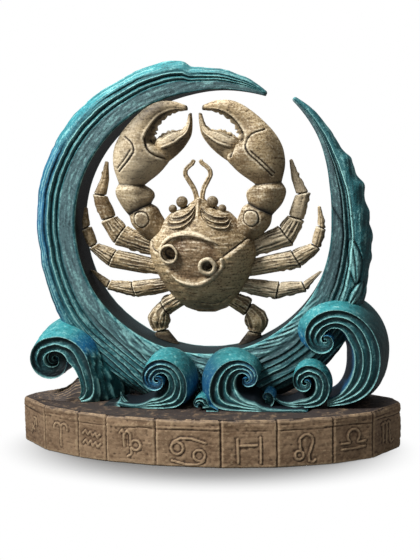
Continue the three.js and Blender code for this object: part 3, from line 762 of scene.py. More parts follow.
@dataclass(frozen=True)
class PlinthPaint:
    """Brown of the plinth's sides and the charcoal of its top, with painted shade in its grooves and towards
    both ends.
    """

    body: Colour = linear(155, 129, 101)
    shade: Colour = linear(108, 84, 62)
    # wash: dark brown of the wash, also the colour of the painted shade
    wash: Colour = linear(50, 34, 22)
    edge: Colour = linear(204, 178, 142)
    top: Colour = linear(58, 50, 47)

    def mix(self) -> Material:
        """Builds the material.

        Returns:
            The finished material.
        """
        paint = Paint("plinth_brown")
        fine, broad = map(paint.value, ("fine", "broad"))
        streak = paint.mottle((240, 240, 600), 3)
        cloud = paint.mottle((60, 60, 120))
        speck = paint.mottle((800, 800, 900), 3)
        brushed = speck * 0.9 + streak * 0.6
        worn = (brushed + fine * 0.3).step(0.78, 1.05)
        ground = paint.blend((worn + streak.step(0.5, 0.7) * 0.3) * 0.5, self.top, self.body)
        colour = paint.coats(
            self.body,
            ((streak * 0.5 + cloud * 0.4 + speck * 0.3).step(0.5, 0.72), self.shade),
            # dark wash in the grooves and hollows, deepened as painted shade
            ((0 - broad).step(0.2, 1.0) * 0.6, self.wash),
            (worn * 0.5, self.edge),
            (((0 - fine) * 0.8 - brushed * 1.2 + 0.98).step(0.12, 0.6) * 0.85, self.wash),
            # painted shade towards both ends of the plinth
            (paint.value("dusk") * (0.2 + cloud * 0.45), self.wash),
            (paint.value("top"), ground),
        )
        relief = streak * 0.6 + speck * 0.4
        return paint.seal(colour, 0.58 + speck * 0.2, relief, 0.00016, Specular_IOR_Level=0.3)


@dataclass(frozen=True)
class FeltPaint:
    """Dark felt under the plinth."""

    body: Colour = linear(40, 40, 43)
    fluff: Colour = linear(84, 84, 88)

    def mix(self) -> Material:
        """Builds the material.

        Returns:
            The finished material.
        """
        paint = Paint("grey_felt")
        fibre = paint.mottle((2600, 2600, 900), 5, 0.75)
        colour = paint.blend(fibre.step(0.45, 0.75), self.body, self.fluff)
        return paint.seal(colour, 0.95, fibre, 0.0002, Sheen_Weight=0.3)


@dataclass(frozen=True)
class SteelPaint:
    """Drawn steel of the hidden pins."""

    body: Colour = linear(186, 188, 190)
    draw: Colour = linear(140, 143, 147)

    def mix(self) -> Material:
        """Builds the material.

        Returns:
            The finished material.
        """
        paint = Paint("drawn_steel")
        line = paint.mottle((3000, 3000, 120), 4)
        colour = paint.blend(line.step(0.4, 0.7), self.body, self.draw)
        return paint.seal(colour, 0.3 + line * 0.2, line, 0.00003, Metallic=1.0)


class Glyph(Enum):
    """Signs of the zodiac as strokes in millimetres, about the middle of a panel."""

    ARIES = [
        [(0, -5), (0, 0.6)] + arc((-1.9, 2.6), 1.9, -20, 200),
        [(0, 0.6)] + arc((1.9, 2.6), 1.9, 200, -20),
    ]
    TAURUS = [arc((0, -1.8), 2.7, 0, 360), arc((0, 4.2), 3.2, 190, 350)]
    GEMINI = [[(-4.6, 4.8), (-4.5, -4.8)], [(4.6, 5.4), (4.7, -5)], [(-3.4, 2.2), (3, 2.3)]]
    CANCER = [
        arc((-4.4, 1.2), 2.5, 0, 360),
        [(-6.9, 1.6), (-6, 3.8), (-3, 5.3), (1.5, 5.4), (7.2, 3.6)],
        arc((4.6, -1.6), 2.3, 0, 360),
        [(6.9, -1.8), (6.4, -4), (3.6, -5.5), (-0.6, -5.6), (-6.6, -4)],
    ]
    LEO = [
        arc((-2.7, -2.4), 1.8, 0, 360),
        [(-1.6, -1), (-2.4, 1.2)] + arc((0.3, 3.2), 2.8, 200, -20)
        + [(1.2, -2.6), (1.5, -5), (2.8, -5.6), (4, -4.6)],
    ]
    VIRGO = [
        [(-4.4, 4), (-3.6, 4.4), (-3.4, -4)],
        [(-3.4, 3)] + arc((-2.2, 3.2), 1.2, 150, 0) + [(-1, -4)],
        [(-1, 3)] + arc((0.2, 3.2), 1.2, 150, 0) + [(1.4, -3), (3, -5.4)],
        [(1.4, 2)] + arc((2.7, 0.6), 1.8, 120, -110) + [(0.2, -4.6)],
    ]
    LIBRA = [
        [(-5.6, -1.5), (-2, -1.5)] + arc((0, 1.4), 2.8, 232, -52) + [(2, -1.4), (5.6, -1.2)],
        [(-5.4, -3.9), (0, -3.8), (5.4, -3.5)],
    ]
    SCORPIO = [
        [(-4.2, 4.2), (-3.4, 4.6), (-3.1, -4)],
        [(-3.1, 3.4)] + arc((-1.9, 3.6), 1.2, 150, 0) + [(-0.6, -4)],
        [(-0.6, 3.4)] + arc((0.6, 3.6), 1.2, 150, 0) + [(1.9, -3.6), (2.8, -4.4), (4.4, -3.6)],
    ]
    SAGITTARIUS = [[(-2.6, -3.4), (2.6, 3.4)], [(0, 3.6), (2.6, 3.4), (2.8, 0.8)], [(-2.2, 0), (0.4, -1.8)]]
    CAPRICORN = [
        [(-4.6, 3.8), (-3.6, 5), (-2.7, 3.6), (-2.6, -1.6)],
        [(-2.6, 3.4), (-1.2, 5), (0.1, 3.6), (0.2, -1)],
        arc((2.4, -0.8), 2.1, 180, -150) + [(0.4, -2.6), (0.4, -4.6), (-1, -5.6)],
    ]
    AQUARIUS = [
        [(-4.2, 2.2), (-2.8, 3.6), (-1.8, 1.9), (-0.4, 3.3), (0.6, 1.5), (2, 2.9), (3, 1.1), (4.2, 2.4)],
        [(-4.2, -1.8), (-2.8, -0.4), (-1.8, -2.1), (-0.4, -0.7), (0.6, -2.5), (2, -1.1), (3, -2.9),
         (4.2, -1.6)],
    ]
    PISCES = [arc((-5.4, 0), 4, -62, 62), arc((5.4, 0), 4, 118, 242), [(-3.4, 0), (3.4, 0)]]


@dataclass
class Plinth:
    """Faceted oval plinth with panel grooves, a band and a sign on each panel."""

    half_width: float = 84.0
    front_depth: float = 43.0
    back_depth: float = 25.5
    foot: float = 0.2
    felt: float = 1.0
    felt_rim: Point = (2.0, 2.2)
    edge: float = 0.7
    band_below_top: float = 4.3
    groove_width: float = 0.36
    groove_depth: float = 0.7
    sign_height: float = 0.3
    sign_stroke: float = 0.56
    sign_levels: tuple[float, ...] = (8.6, 8.6, 8.4, 8.6, 6.4, 6.9, 6.9, 9.2, 8.4, 8.4, 8.4, 8.4)
    columns: int = 900
    wall_rows: int = 50
    top_rows: int = 30
    front_corners: tuple[float, ...] = (-76, -53, -36.5, -26, -10.5, 8, 24, 42, 59, 84)
    back_panels: int = 11
    panel_pitch: float = 40.0
    wear: Point = (0.14, 0.5)
    signs: tuple[Glyph, ...] = (
        Glyph.SAGITTARIUS, Glyph.ARIES, Glyph.AQUARIUS, Glyph.CAPRICORN, Glyph.CANCER, Glyph.GEMINI,
        Glyph.LEO, Glyph.LIBRA, Glyph.SCORPIO, Glyph.VIRGO, Glyph.TAURUS, Glyph.PISCES,
    )

    def build(self, paint: Material) -> None:
        """Builds and dresses the plinth."""
        Bench.dress("plinth_carved", self._sheet(*self._round()), self.wear, paint, Slot.PLINTH, "plinth")

    def _round(self) -> tuple[Array, Array, Array, Array]:
        """Points round the plinth.

        Returns:
            Place on the outline, panel number, distance from the panel's middle and the panel's length.
        """
        turns = np.radians(self.front_corners)
        front = np.stack([self.half_width * np.sin(turns), -self.front_depth * np.cos(turns)], axis=1)
        around = np.linspace(0, np.pi, self.back_panels + 1)[1:]
        share = (1 + np.cos(around))[:, None] / 2
        back = front[0] * (1 - share) + front[-1] * share
        back[:, 1] += self.back_depth * np.sin(around)
        corners = np.concatenate([front, back])
        places = chord_places(corners)
        at = np.linspace(0, places[-1], self.columns + 1)
        panel = np.clip(np.searchsorted(places, at, side="right") - 1, 0, len(places) - 2)
        length = np.diff(places)[panel]
        offset = at - places[panel] - length / 2
        share = (offset / length + 0.5)[:, None]
        place = corners[panel] * (1 - share) + corners[panel + 1] * share
        place[-1] = place[0]
        panel[-1], offset[-1], length[-1] = panel[0], offset[0], length[0]
        return place, panel, offset, length

    def _sheet(self, place: Array, panel: Array, offset: Array, length: Array) -> Sheet:
        """Surface from the middle of the underside, up the wall and in over the top.

        Args:
            place: Points round the outline.
            panel: Panel of each point.
            offset: Distance from the panel's middle.
            length: Length of the panel.

        Returns:
            Closed surface of the plinth.
        """
        rise = PLINTH_TOP - self.foot
        wall = np.linspace(0, rise, self.wall_rows)
        relief = self._wall_relief(wall, panel, offset, length)
        outward = unit(place)
        chamfer = self.edge * (0.4 * ease(0.6, 0, wall) + ease(rise - 0.9, rise, wall))
        inset = (relief - chamfer[:, None])[..., None] * outward
        level = np.broadcast_to((wall + self.foot)[:, None, None], (*inset.shape[:2], 1))
        outer, inner = (place - back * outward for back in self.felt_rim)
        rings = [(place * share, self.felt) for share in (0, 0.5, 0.9)]
        rings += [(inner, self.felt), (outer, self.foot)]
        under = [np.column_stack([ring, np.full(len(place), height)]) for ring, height in rings]
        shares = np.linspace(0.985, 0, self.top_rows)
        flow = [self._top_row(place, share) for share in shares]
        points = np.concatenate([np.array(under), np.dstack([place + inset, level]), np.array(flow)])
        top = np.zeros(points.shape[:2])
        top[-self.top_rows:] = 1
        blot = 0.75 + 0.5 * grain(offset[None, :] / 3, wall[:, None], 13)
        edge = ease(rise - 2.2, rise, wall)[:, None] * blot
        top[len(under):-self.top_rows] = np.clip(edge, 0, 1)
        # Painted shade on the panels towards both ends, stronger on the left.
        ends = 0.8 * ease(-15, -75, place[:, 0]) + 0.2 * ease(10, 75, place[:, 0])
        return Sheet(points, {"top": top, "dusk": np.broadcast_to(ends, top.shape)})

    def _wall_relief(self, wall: Array, panel: Array, offset: Array, length: Array) -> Array:
        """Height of the wall's carving: grooves, the band, the signs and a rough grain.

        Args:
            wall: Height of each row over the foot.
            panel: Panel of each column.
            offset: Distance from the panel's middle.
            length: Length of the panel.

        Returns:
            Height by row and column, in millimetres.
        """
        along = (offset + panel * self.panel_pitch)[None, :]
        up = wall[:, None]
        rise = PLINTH_TOP - self.foot
        to_corner = (length / 2 - np.abs(offset))[None, :]
        wander = 0.25 * grain(along / 7, up / 5, 3)
        relief = -self.groove_depth * bell(to_corner + 0 * up, 0, self.groove_width + 0.2 * wander)
        line = up - (rise - self.band_below_top) + 0.35 * grain(along / 9, 0 * up, 5)
        relief -= 0.5 * bell(line, 0, 0.26) * (0.55 + 0.45 * grain(along / 6, 0 * up, 6))
        upper = ease(-0.2, 0.6, line)
        relief += 0.1 * upper + (0.06 + 0.12 * upper) * grain(along / 9, up / 0.7, 7)
        relief += 0.12 * grain(along / 2.6, up / 2.2, 8) + 0.1 * grain(along / 1.2, up / 1.1, 9)
        relief -= 0.7 * np.clip(grain(along / 3.5, up / 3, 10), 0, 1) * ease(rise - 1.6, rise, up)
        for number, (sign, level) in enumerate(zip(self.signs, self.sign_levels)):
            here = np.flatnonzero(panel == number)
            away = distance_to(sign.value, *np.broadcast_arrays(offset[here][None, :], up - level))
            raised = 1 - ease(self.sign_stroke * 0.55, self.sign_stroke, away)
            relief[:, here] += self.sign_height * raised
            relief[:, here] -= 0.08 * bell(away, self.sign_stroke * 1.5, 0.35)
        return relief

    @staticmethod
    def _top_row(place: Array, share: float) -> Array:
        """One closed row of the top, with the grain of poured resin.

        Args:
            place: Points round the outline.
            share: Share of the way from the middle to the outline.

        Returns:
            Points of the row.
        """
        flat = place * share
        x, y = flat.T
        rough = 0.12 * grain(x / 3, y / 3, 11) + 0.1 * grain(x / 1.2, y / 5, 12)
        return np.column_stack([flat, PLINTH_TOP - 0.12 + rough * ease(1, 0.9, np.array(share))])


@dataclass(frozen=True)
class RingKey:
    """Section of the ring at one angle in degrees."""

    angle: float
    swell: float
    band: float
    share: float


@dataclass(frozen=True)
class RingGrid:
    """Places on the ring: angle and band width by row, share of it and radius by point, facing by column."""

    angle: Array
    band: Array
    share: Array
    radius: Array
    facing: Array

    @property
    def flat(self) -> Array:
        """1 on the face and the back, 0 on the edges."""
        return (np.abs(self.facing) == 1) * 1.0

    @property
    def across(self) -> Array:
        """Distance from the inner edge."""
        return self.share * self.band

    @property
    def length(self) -> Array:
        """Distance round the ring."""
        return np.radians(self.angle) * RING_RADIUS


@dataclass
class CrescentRing:
    """Crescent wave round the crab: moulded horns, a fluted foot and a scalloped right edge."""

    depth: float = 19.6
    groove: float = 1.3
    flute_width: float = 2.3
    flute_depth: float = 0.9
    foot_from: Point = (208.0, 228.0)
    foot_to: Point = (320.0, 334.0)
    left_bend: float = 230.0
    right_bend: float = 300.0
    right_horn: Point = (325.0, 345.0)
    inner_band: Point = (0.2, 0.26)
    fluted_band: Point = (0.22, 0.28)
    rows: int = 570
    face_columns: int = 110
    edge_columns: int = 4
    back_columns: int = 34
    wall_columns: int = 14
    wear: Point = (0.3, 1.2)
    keys: tuple[RingKey, ...] = (
        RingKey(64.5, 5.2, 2.3, 0.36), RingKey(72, 4, 5.7, 0.48), RingKey(82, 2.7, 8.6, 0.62),
        RingKey(94, 1.2, 11, 0.76), RingKey(97, 0.9, 14, 0.82), RingKey(105, 0.4, 15.8, 0.9),
        RingKey(120, 0, 16.8, 1), RingKey(140, 0, 18.8, 1), RingKey(162, 0.2, 19.4, 1),
        RingKey(188, 0.2, 19.4, 1), RingKey(212, 0.4, 21.8, 1), RingKey(238, 0, 25.5, 1),
        RingKey(300, 0, 25.5, 1), RingKey(328, 0, 22.2, 1), RingKey(342, -0.3, 18.6, 1),
        RingKey(360, -0.4, 15.4, 1), RingKey(375, 1, 12.4, 0.9), RingKey(386, 3.4, 8.6, 0.76),
        RingKey(396, 6, 5.8, 0.6), RingKey(406, 8.1, 4, 0.45), RingKey(413, 9.4, 2.2, 0.34),
    )
    scallops: tuple[Spot, ...] = (
        (384, 1.2, 2.4), (380.5, 0.5, 1.8), (373.6, 1.5, 2.6), (364, 1.2, 2.6), (356, 0.9, 3.6),
        (349, 1, 2.5))
    leaves: tuple[tuple[Point, Point, float], ...] = (
        ((355.0, 8.2), (339.5, 14.6), 2.5),
        ((341.0, 16.6), (331.0, 15.4), 2.0),
    )

    def build(self, paint: Material) -> None:
        """Builds and dresses the ring."""
        sheet = self._sheet().round_ends(1.1, 1.1, 5).over(PLINTH_TOP)
        Bench.dress("crescent_ring_carved", sheet, self.wear, paint, Slot.WAVE, "crescent_ring")

    def _sheet(self) -> Sheet:
        """Surface of the ring: face, outer edge, back and inner wall of each section.

        Returns:
            Open tube from horn to horn.
        """
        angle = np.linspace(self.keys[0].angle, self.keys[-1].angle, self.rows)
        rows = [(key.swell, key.band, key.share) for key in self.keys]
        swell, band, deep = track([key.angle for key in self.keys], rows, angle).T
        chips = 0.3 * grain(angle / 4.5, 0 * angle, 21) + 0.14 * grain(angle / 1.6, 0 * angle, 22)
        band = band + self._wave(angle) + chips * ease(2, 9, band)
        half = self.depth / 2 * deep
        face = np.linspace(0, 1, self.face_columns)
        back = np.linspace(1, 0, self.back_columns)
        across = np.concatenate([face, [1] * self.edge_columns, back, [0] * self.wall_columns, face[:1]])
        edge = np.linspace(-1, 1, self.edge_columns + 2)[1:-1]
        wall = np.linspace(1, -1, self.wall_columns + 2)[1:-1]
        facing = np.concatenate([-np.ones(len(face)), edge, np.ones(len(back)), wall, [-1]])
        share = np.broadcast_to(across, (len(angle), len(across)))
        radius = RING_RADIUS + swell[:, None] + band[:, None] * share
        grid = RingGrid(angle[:, None], band[:, None], share, radius, facing)
        y = facing * half[:, None] * self._profile(share) + np.sign(facing) * self._carving(grid) * grid.flat
        turn = np.radians(angle)[:, None]
        points = np.stack([RING_X + radius * np.cos(turn), y, RING_Z + radius * np.sin(turn)], axis=2)
        return Sheet(points, self._paint(grid))

    def _paint(self, grid: RingGrid) -> dict[str, Array]:
        """Painted values: lines of the mouldings and flutes, the grey band, blue and bright zones, and painted
        shade on the right horn, in the sunk lines and on the inner wall.

        Args:
            grid: Places on the ring.

        Returns:
            Values by name.
        """
        angle, share = grid.angle, grid.share
        foot = self._foot(angle)
        light, dark = self._lines(grid)
        phase, width = self._flutes(grid)
        wash = phase - np.floor(phase)
        fluted = foot * ease(*self.fluted_band, share)
        crest = bell(np.minimum(wash, 1 - wash) * width, 0, 0.17)
        crest = crest * ease(-0.4, 0.3, grain(angle / 9, phase, 46))
        hollow = window((0.03, 0.13), (0.3, 0.6), wash)
        plain = ease(2, 6, grid.band) * (1 - foot)
        top = 0.5 * bell(angle, 122, 34) * ease(0.62, 0.72, share)
        patch = 0.5 + 0.5 * grain(angle / 7, share * 5, 31)
        side = bell(angle, 172, 26) * ease(0.6, 0.72, share) * (0.35 + 0.8 * patch)
        leaf = ease(0.5, 0.9, self._leaf_relief(grid)) * (grid.facing == -1)
        inner = 1 - ease(*self.inner_band, share)
        # Painted shade on the right horn and along the lower right of the ring.
        shaded = 0.4 * ease(*self.right_horn, angle) * (1 - ease(0.3, 0.45, share))
        shaded = shaded + 0.35 * window((284, 300), (328, 342), angle) * (1 - inner)
        lines = light * plain + 0.75 * crest * fluted + 0.5 * leaf
        lines = lines + 0.5 * ease(0.1, 0.5, self._slant(grid)) * foot * inner
        return {
            "dusk": grid.flat * shaded,
            "stroke": self._strokes(grid),
            # the inner wall, painted near black and deepened as painted shade
            "wall": np.broadcast_to(((share[:1] == 0) & (np.abs(grid.facing) < 1)) * 1.0, share.shape),
            "band": self._band_paint(grid),
            "blue": np.clip(side, 0, 1) + 0.5 * bell(angle, 214, 12) * ease(0.7, 0.9, share) * patch,
            "crest": grid.flat * lines,
            # sunk lines and flute hollows: dark wash deepened as painted shade
            "step": grid.flat * (dark * plain + 0.85 * hollow * fluted),
            "bright": np.clip(top + 0.4 * foot * inner, 0, 1),
        }

    def _wave(self, angle: Array) -> Array:
        """Height of the bumps along the outer edge of the right horn."""
        return sum(high * bell(angle, place, wide) for place, high, wide in self.scallops)

    @staticmethod
    def _profile(share: Array) -> Array:
        """Depth of the plain face as a share of the half depth: flat, rounding off to the outer edge."""
        inner = 0.05 * np.clip(1 - share / 0.04, 0, 1) ** 2
        return 1 - inner - 0.75 * np.clip((share - 0.66) / 0.34, 0, 1) ** 2.3

    @staticmethod
    def _band_paint(grid: RingGrid) -> Array:
        """Grey of the flat inner band, which gives way to teal along the foot."""
        foot = window((205, 235), (310, 335), grid.angle)
        return window((0.03, 0.07), (0.34, 0.39), grid.share) * (1 - 0.2 * foot) * grid.flat

    def _carving(self, grid: RingGrid) -> Array:
        """Height of the carving on the face and the back.

        Args:
            grid: Places on the ring.

        Returns:
            Height over the plain face, in millimetres.
        """
        angle, share, across, length = grid.angle, grid.share, grid.across, grid.length
        foot = self._foot(angle)
        depth = np.minimum(self.groove, grid.band * 0.09)
        light, dark = self._lines(grid)
        carved = depth * (0.4 * light - dark) * (1 - foot)
        phase, _ = self._flutes(grid)
        wash = phase - np.floor(phase)
        hollow = ease(0, 0.2, wash) * (1 - wash) ** 0.8
        carved -= foot * ease(*self.fluted_band, share) * self.flute_depth * hollow
        carved += foot * (1 - ease(*self.inner_band, share)) * 0.4 * self._slant(grid)
        carved += self._leaf_relief(grid) * (grid.facing == -1)
        right = ease(*self.right_horn, angle) * ease(0.6, 0.7, share)
        rough = 0.1 * grain(length / 3.5, across / 0.6, 44) + 0.08 * grain(length / 1.3, across, 45)
        rough = rough + 0.16 * right * grain(length / 0.8, across / 0.8, 47)
        return carved + rough * ease(3, 8, grid.band)

    def _lines(self, grid: RingGrid) -> tuple[Array, Array]:
        """Mouldings of the two horns.

        Args:
            grid: Places on the ring.

        Returns:
            Share of each point on a raised line and on a sunk one.
        """
        angle = grid.angle
        share = grid.across / (grid.band - self._wave(angle))
        right = ease(318, 345, angle)
        drift = share + 0.012 * grain(angle / 16, share * 2, 41)
        fade = ease(-0.5, 0.3, grain(angle / 20, share * 4, 42))
        light = 0.6 * bell(drift, 0.476, 0.015) + 0.85 * bell(drift, 0.62, 0.014)
        light = light + fade * (0.55 * bell(drift, 0.79, 0.014) + 0.7 * bell(drift, 0.87, 0.014))
        dark = 0.6 * bell(drift, 0.41, 0.02) + 0.75 * bell(drift, 0.545, 0.024)
        dark = dark + fade * (0.7 * bell(drift, 0.7, 0.028) + 0.55 * bell(drift, 0.925, 0.02))
        keen = 0.35 * bell(drift, 0.36, 0.014) + bell(drift, 0.555, 0.026)
        sunk = 0.7 * bell(drift, 0.315, 0.02) + 0.9 * bell(drift, 0.43, 0.045)
        sunk = sunk + 0.8 * bell(drift, 0.51, 0.018)
        sunk = sunk + 0.6 * bell(angle - 369 + 26 * share, 0, 0.9) * ease(0.34, 0.28, share)
        return light * (1 - right) + keen * right, dark * (1 - right) + sunk * right

    @staticmethod
    def _slant(grid: RingGrid) -> Array:
        """Slanting chisel strokes inside the foot, from -1 to 1."""
        return grain(grid.length / 6 + grid.share * 2.4, (grid.across - grid.length * 0.3) / 0.8, 43)

    @staticmethod
    def _strokes(grid: RingGrid) -> Array:
        """Brush strokes that run along the ring, from -1 to 1."""
        long = 0.75 * grain(grid.length / 7, grid.across / 0.8, 48)
        return long + 0.6 * grain(grid.length / 2.6, grid.across / 0.5, 49)

    def _foot(self, angle: Array) -> Array:
        """Share by which the fluted foot has taken over from the moulded horns."""
        return window(self.foot_from, self.foot_to, angle)

    def _flutes(self, grid: RingGrid) -> tuple[Array, Array]:
        """Flowing flutes of the foot, which leave the ring along two tangents and meet below it.

        Args:
            grid: Places on the ring.

        Returns:
            Place across the flutes and the width of one flute.
        """
        angle = grid.angle
        left = grid.radius * np.cos(np.radians(np.maximum(angle - self.left_bend, 0)))
        right = grid.radius * np.cos(np.radians(np.maximum(self.right_bend - angle, 0)))
        wander = 0.4 * grain(angle / 17, grid.share * 6, 51) + 0.12 * grain(angle / 6, grid.share * 12, 52)
        over = ease(266, 276, angle)
        width = self.flute_width * (1 + 0.25 * over)
        return (left * (1 - over) + right * over) / width + wander, width

    def _leaf_relief(self, grid: RingGrid) -> Array:
        """Pointed leaves carved low on the right edge.

        Args:
            grid: Places on the ring.

        Returns:
            Height over the face, in millimetres.
        """
        angle, out = np.broadcast_arrays(grid.angle, grid.across)
        height = np.zeros(out.shape)
        for (tip_angle, tip_out), (root_angle, root_out), half in self.leaves:
            scale = np.radians(1) * (RING_RADIUS + tip_out)
            along = ((angle - root_angle) * scale, out - root_out)
            axis = ((tip_angle - root_angle) * scale, tip_out - root_out)
            length = math.hypot(*axis)
            place = (along[0] * axis[0] + along[1] * axis[1]) / length**2
            side = (along[0] * axis[1] - along[1] * axis[0]) / length
            width = half * np.sin(np.pi * np.clip(place, 0.001, 0.999)) ** 0.7
            inside = np.clip(1 - (side / width) ** 2, 0, 1) * (place > 0) * (place < 1)
            height += 1.1 * np.sqrt(inside) - 0.7 * bell(side, 0, 0.4) * (inside > 0)
            height -= 0.8 * bell(np.abs(side) - width, 0.3, 0.4) * (place > 0) * (place < 1)
        return height


@dataclass
class WaveCurl:
    """Curling wave: log spirals for its rim and its inner edge, with sharp crests that run into the eye."""

    name: str
    x: float
    up: float
    hand: int
    radius: float
    tail: float
    inner: float
    sweep: float
    roll: float
    start: float
    end: float
    front: float
    flare: float
    spread: float
    fade: tuple[float, float]
    band: float
    core: float
    wraps: bool = False
    bands: int = 3
    taper: float = 1.0
    lean: float = 0.0
    bulge: float = 0.0
    close: float = 0.0
    hollow: float = 0.0
    foam: float = 0.0
    blue: Point = (-20.0, 180.0)
    face_blue: float = 0.3
    wall_blue: float = 0.02
    # strength of the painted shade on the flank's lower turns
    dusk: float = 0.0
    groove: float = 1.9
    turn_step: float = 2.0
    back_wrapped: float = 6.0
    back_plain: float = -10.1
    merge: Point = (150.0, 270.0)
    foam_zone: Point = (24.0, 2.0)
    band_columns: int = 18
    wall_columns: int = 5
    rear_columns: int = 4
    flank_columns: int = 30

    def build(self, paint: Material) -> None:
        """Builds and dresses the curl."""
        sheet = self._sheet().round_ends(0.4, 0.8, 4).over(PLINTH_TOP - 0.05)
        Bench.dress(f"{self.name}_carved", sheet, WAVE_WEAR, paint, Slot.WAVE, self.name)

    def _edges(self, turn: Array) -> tuple[Array, Array]:
        """Rim and inner edge, rounded off along the ground.

        Args:
            turn: Turns in degrees.

        Returns:
            Radius of the rim and of the inner edge.
        """
        below = np.radians(np.maximum(-turn, 0))
        tail = self.tail * np.radians(np.minimum(turn, 90))
        roll = self.roll * np.radians(np.maximum(turn - 90, 0))
        roll = roll + self.close * np.radians(np.maximum(turn - 300, 0))
        spiral = self.radius * np.exp(self.sweep * below**2 - tail - roll)
        ground = self.up / np.maximum(np.sin(below), 0.04)
        rim = (spiral**-6.0 + ground**-6.0) ** (-1 / 6)
        share = self.band + (self.core - self.band) * ease(30, 120, turn)
        share = share * (self.taper + (1 - self.taper) * ease(self.start, self.start + 45, turn))
        inner = np.where(turn < 0, self.radius * np.exp(self.inner * below), rim) * (1 - share)
        return rim, (inner**-8.0 + (rim * 0.97) ** -8.0) ** (-1 / 8)

    def _sheet(self) -> Sheet:
        """Surface of the curl: face, inner wall, back and flank of each section.

        Returns:
            Tube from the foot to the eye.
        """
        count = int((self.end - self.start) / self.turn_step) + 1
        turn = np.linspace(self.start, self.end, count)[:, None]
        rim, edge = self._edges(turn)
        width = rim - edge
        below = np.radians(np.maximum(-turn, 0))
        flare = self.flare * (1 - ease(*self.fade, turn)) + self.spread * below
        deep = (self.back_wrapped if self.wraps else self.back_plain) - self.front
        face = np.linspace(0, 1, self.band_columns * self.bands + 1)[None, :]
        saw = face * self.bands + 0.14 * grain(turn / 26, face * 4, 60) * np.sin(np.pi * face)
        saw = np.clip(saw, 0, self.bands)
        share = saw - np.floor(saw)
        pitch = width / self.bands
        depth = np.minimum(self.groove, 0.55 * pitch)
        alone = ease(*self.merge, turn)
        cut = depth * ease(0, 0.2, share) * (1 - share) ** 0.7 * (1 - alone)
        cut = cut + alone * 0.35 * width * ease(0, 0.12, face) * (1 - face) ** 0.6
        crest = np.minimum(share, 1 - share) * pitch
        crest = crest + 9 * alone * window((0.1, 0.2), (0.92, 0.97), face)
        crest = crest + 0.4 * ease(0.9, 0.3, pitch)
        bead = 0.35 * np.minimum(1, pitch / 2) * bell(crest, 0, 0.28)
        eye = self.hollow * ease(100, 460, turn)
        inward = 0.3 + 0.9 * depth * face**1.5 * self.bands / 2 + cut - bead + eye
        inward = inward + 0.1 * grain(turn / 7, face * 16, 61)
        outward = -width * face
        fall = np.linspace(0.2, 1, self.wall_columns)[None, :]
        lean = np.minimum(self.lean, 0.85 * edge) * ease(self.start, self.start + 40, turn)
        lean = lean * (1 - ease(40, 90, turn))
        wall = (outward[:, -1:] - lean * fall, inward[:, -1:] + (deep - inward[:, -1:]) * fall)
        rear = np.linspace(0, 1, self.rear_columns + 2)[None, 1:-1]
        inside = wall[0][:, -1:]
        behind = (inside + (flare - inside) * rear, np.full((count, self.rear_columns), float(deep)))
        rise = np.linspace(1, 0, self.flank_columns + 1)[None, :-1]
        start = inward[:, :1]
        froth = self._froth(turn, rise)
        bulge = self.bulge * bell(turn, 150, 45) * bell(rise, 0.28, 0.13)
        flank = (flare * np.sin(rise * np.pi / 2) + bulge + froth, start + (deep - start) * rise**1.15)
        out = np.concatenate([outward, wall[0], behind[0], flank[0], outward[:, :1]], axis=1)
        back = np.concatenate([inward, wall[1], behind[1], flank[1], inward[:, :1]], axis=1)
        reach = rim + out
        radians = np.radians(turn)
        x = self.x + self.hand * reach * np.cos(radians)
        z = PLINTH_TOP + self.up + reach * np.sin(radians)
        points = np.stack([x, self.front + back, z], axis=2)
        return Sheet(points, self._paint(turn, face, share, crest, froth, out.shape))

    def _froth(self, turn: Array, rise: Array) -> Array:
        """Grain of the flank, with strands and drops of foam where the stem meets the ring.

        Args:
            turn: Turns in degrees.
            rise: Share of the way up the flank.

        Returns:
            Height in millimetres.
        """
        rough = 0.12 * grain(turn / 6, rise * 9, 62) + 0.1 * grain(turn / 2.5, rise * 18, 63)
        zone = ease(*self.foam_zone, turn) * ease(1, 0.85, rise) * ease(0, 0.06, rise)
        strand = 1 - 1.6 * flute(rise * 7 + 0.8 * grain(turn / 13, rise * 3, 64))
        drops = grain(turn / 5 + rise * 4, rise * 12, 65)
        return rough * np.sin(np.pi * rise) ** 0.5 + self.foam * zone * (0.6 * strand + 0.5 * drops)

    def _paint(self, turn: Array, face: Array, share: Array, crest: Array, froth: Array,
               shape: tuple[int, ...]) -> dict[str, Array]:
        """Painted values: crest lines, dark steps deepened as painted shadow, the smooth flank with its blue,
        the inner wall, and painted shade on the flank's lower turns, towards a hollow eye and behind.

        Args:
            turn: Turns in degrees.
            face: Share of the way over the face.
            share: Place in each band.
            crest: Distance from the nearest crest.
            froth: Height of the flank's grain.
            shape: Rows and columns of the surface.

        Returns:
            Values by name.
        """
        columns = face.shape[1]
        flank = slice(-self.flank_columns - 1, -1)
        values = {key: np.zeros(shape) for key in ("crest", "step", "rim", "blue", "dusk", "wall", "stroke")}
        worn = ease(-0.8, 0.2, grain(turn / 14, face * 7, 66))
        values["crest"][:, :columns] = bell(crest, 0, 0.24) * (0.45 + 0.55 * worn)
        alone = ease(*self.merge, turn)
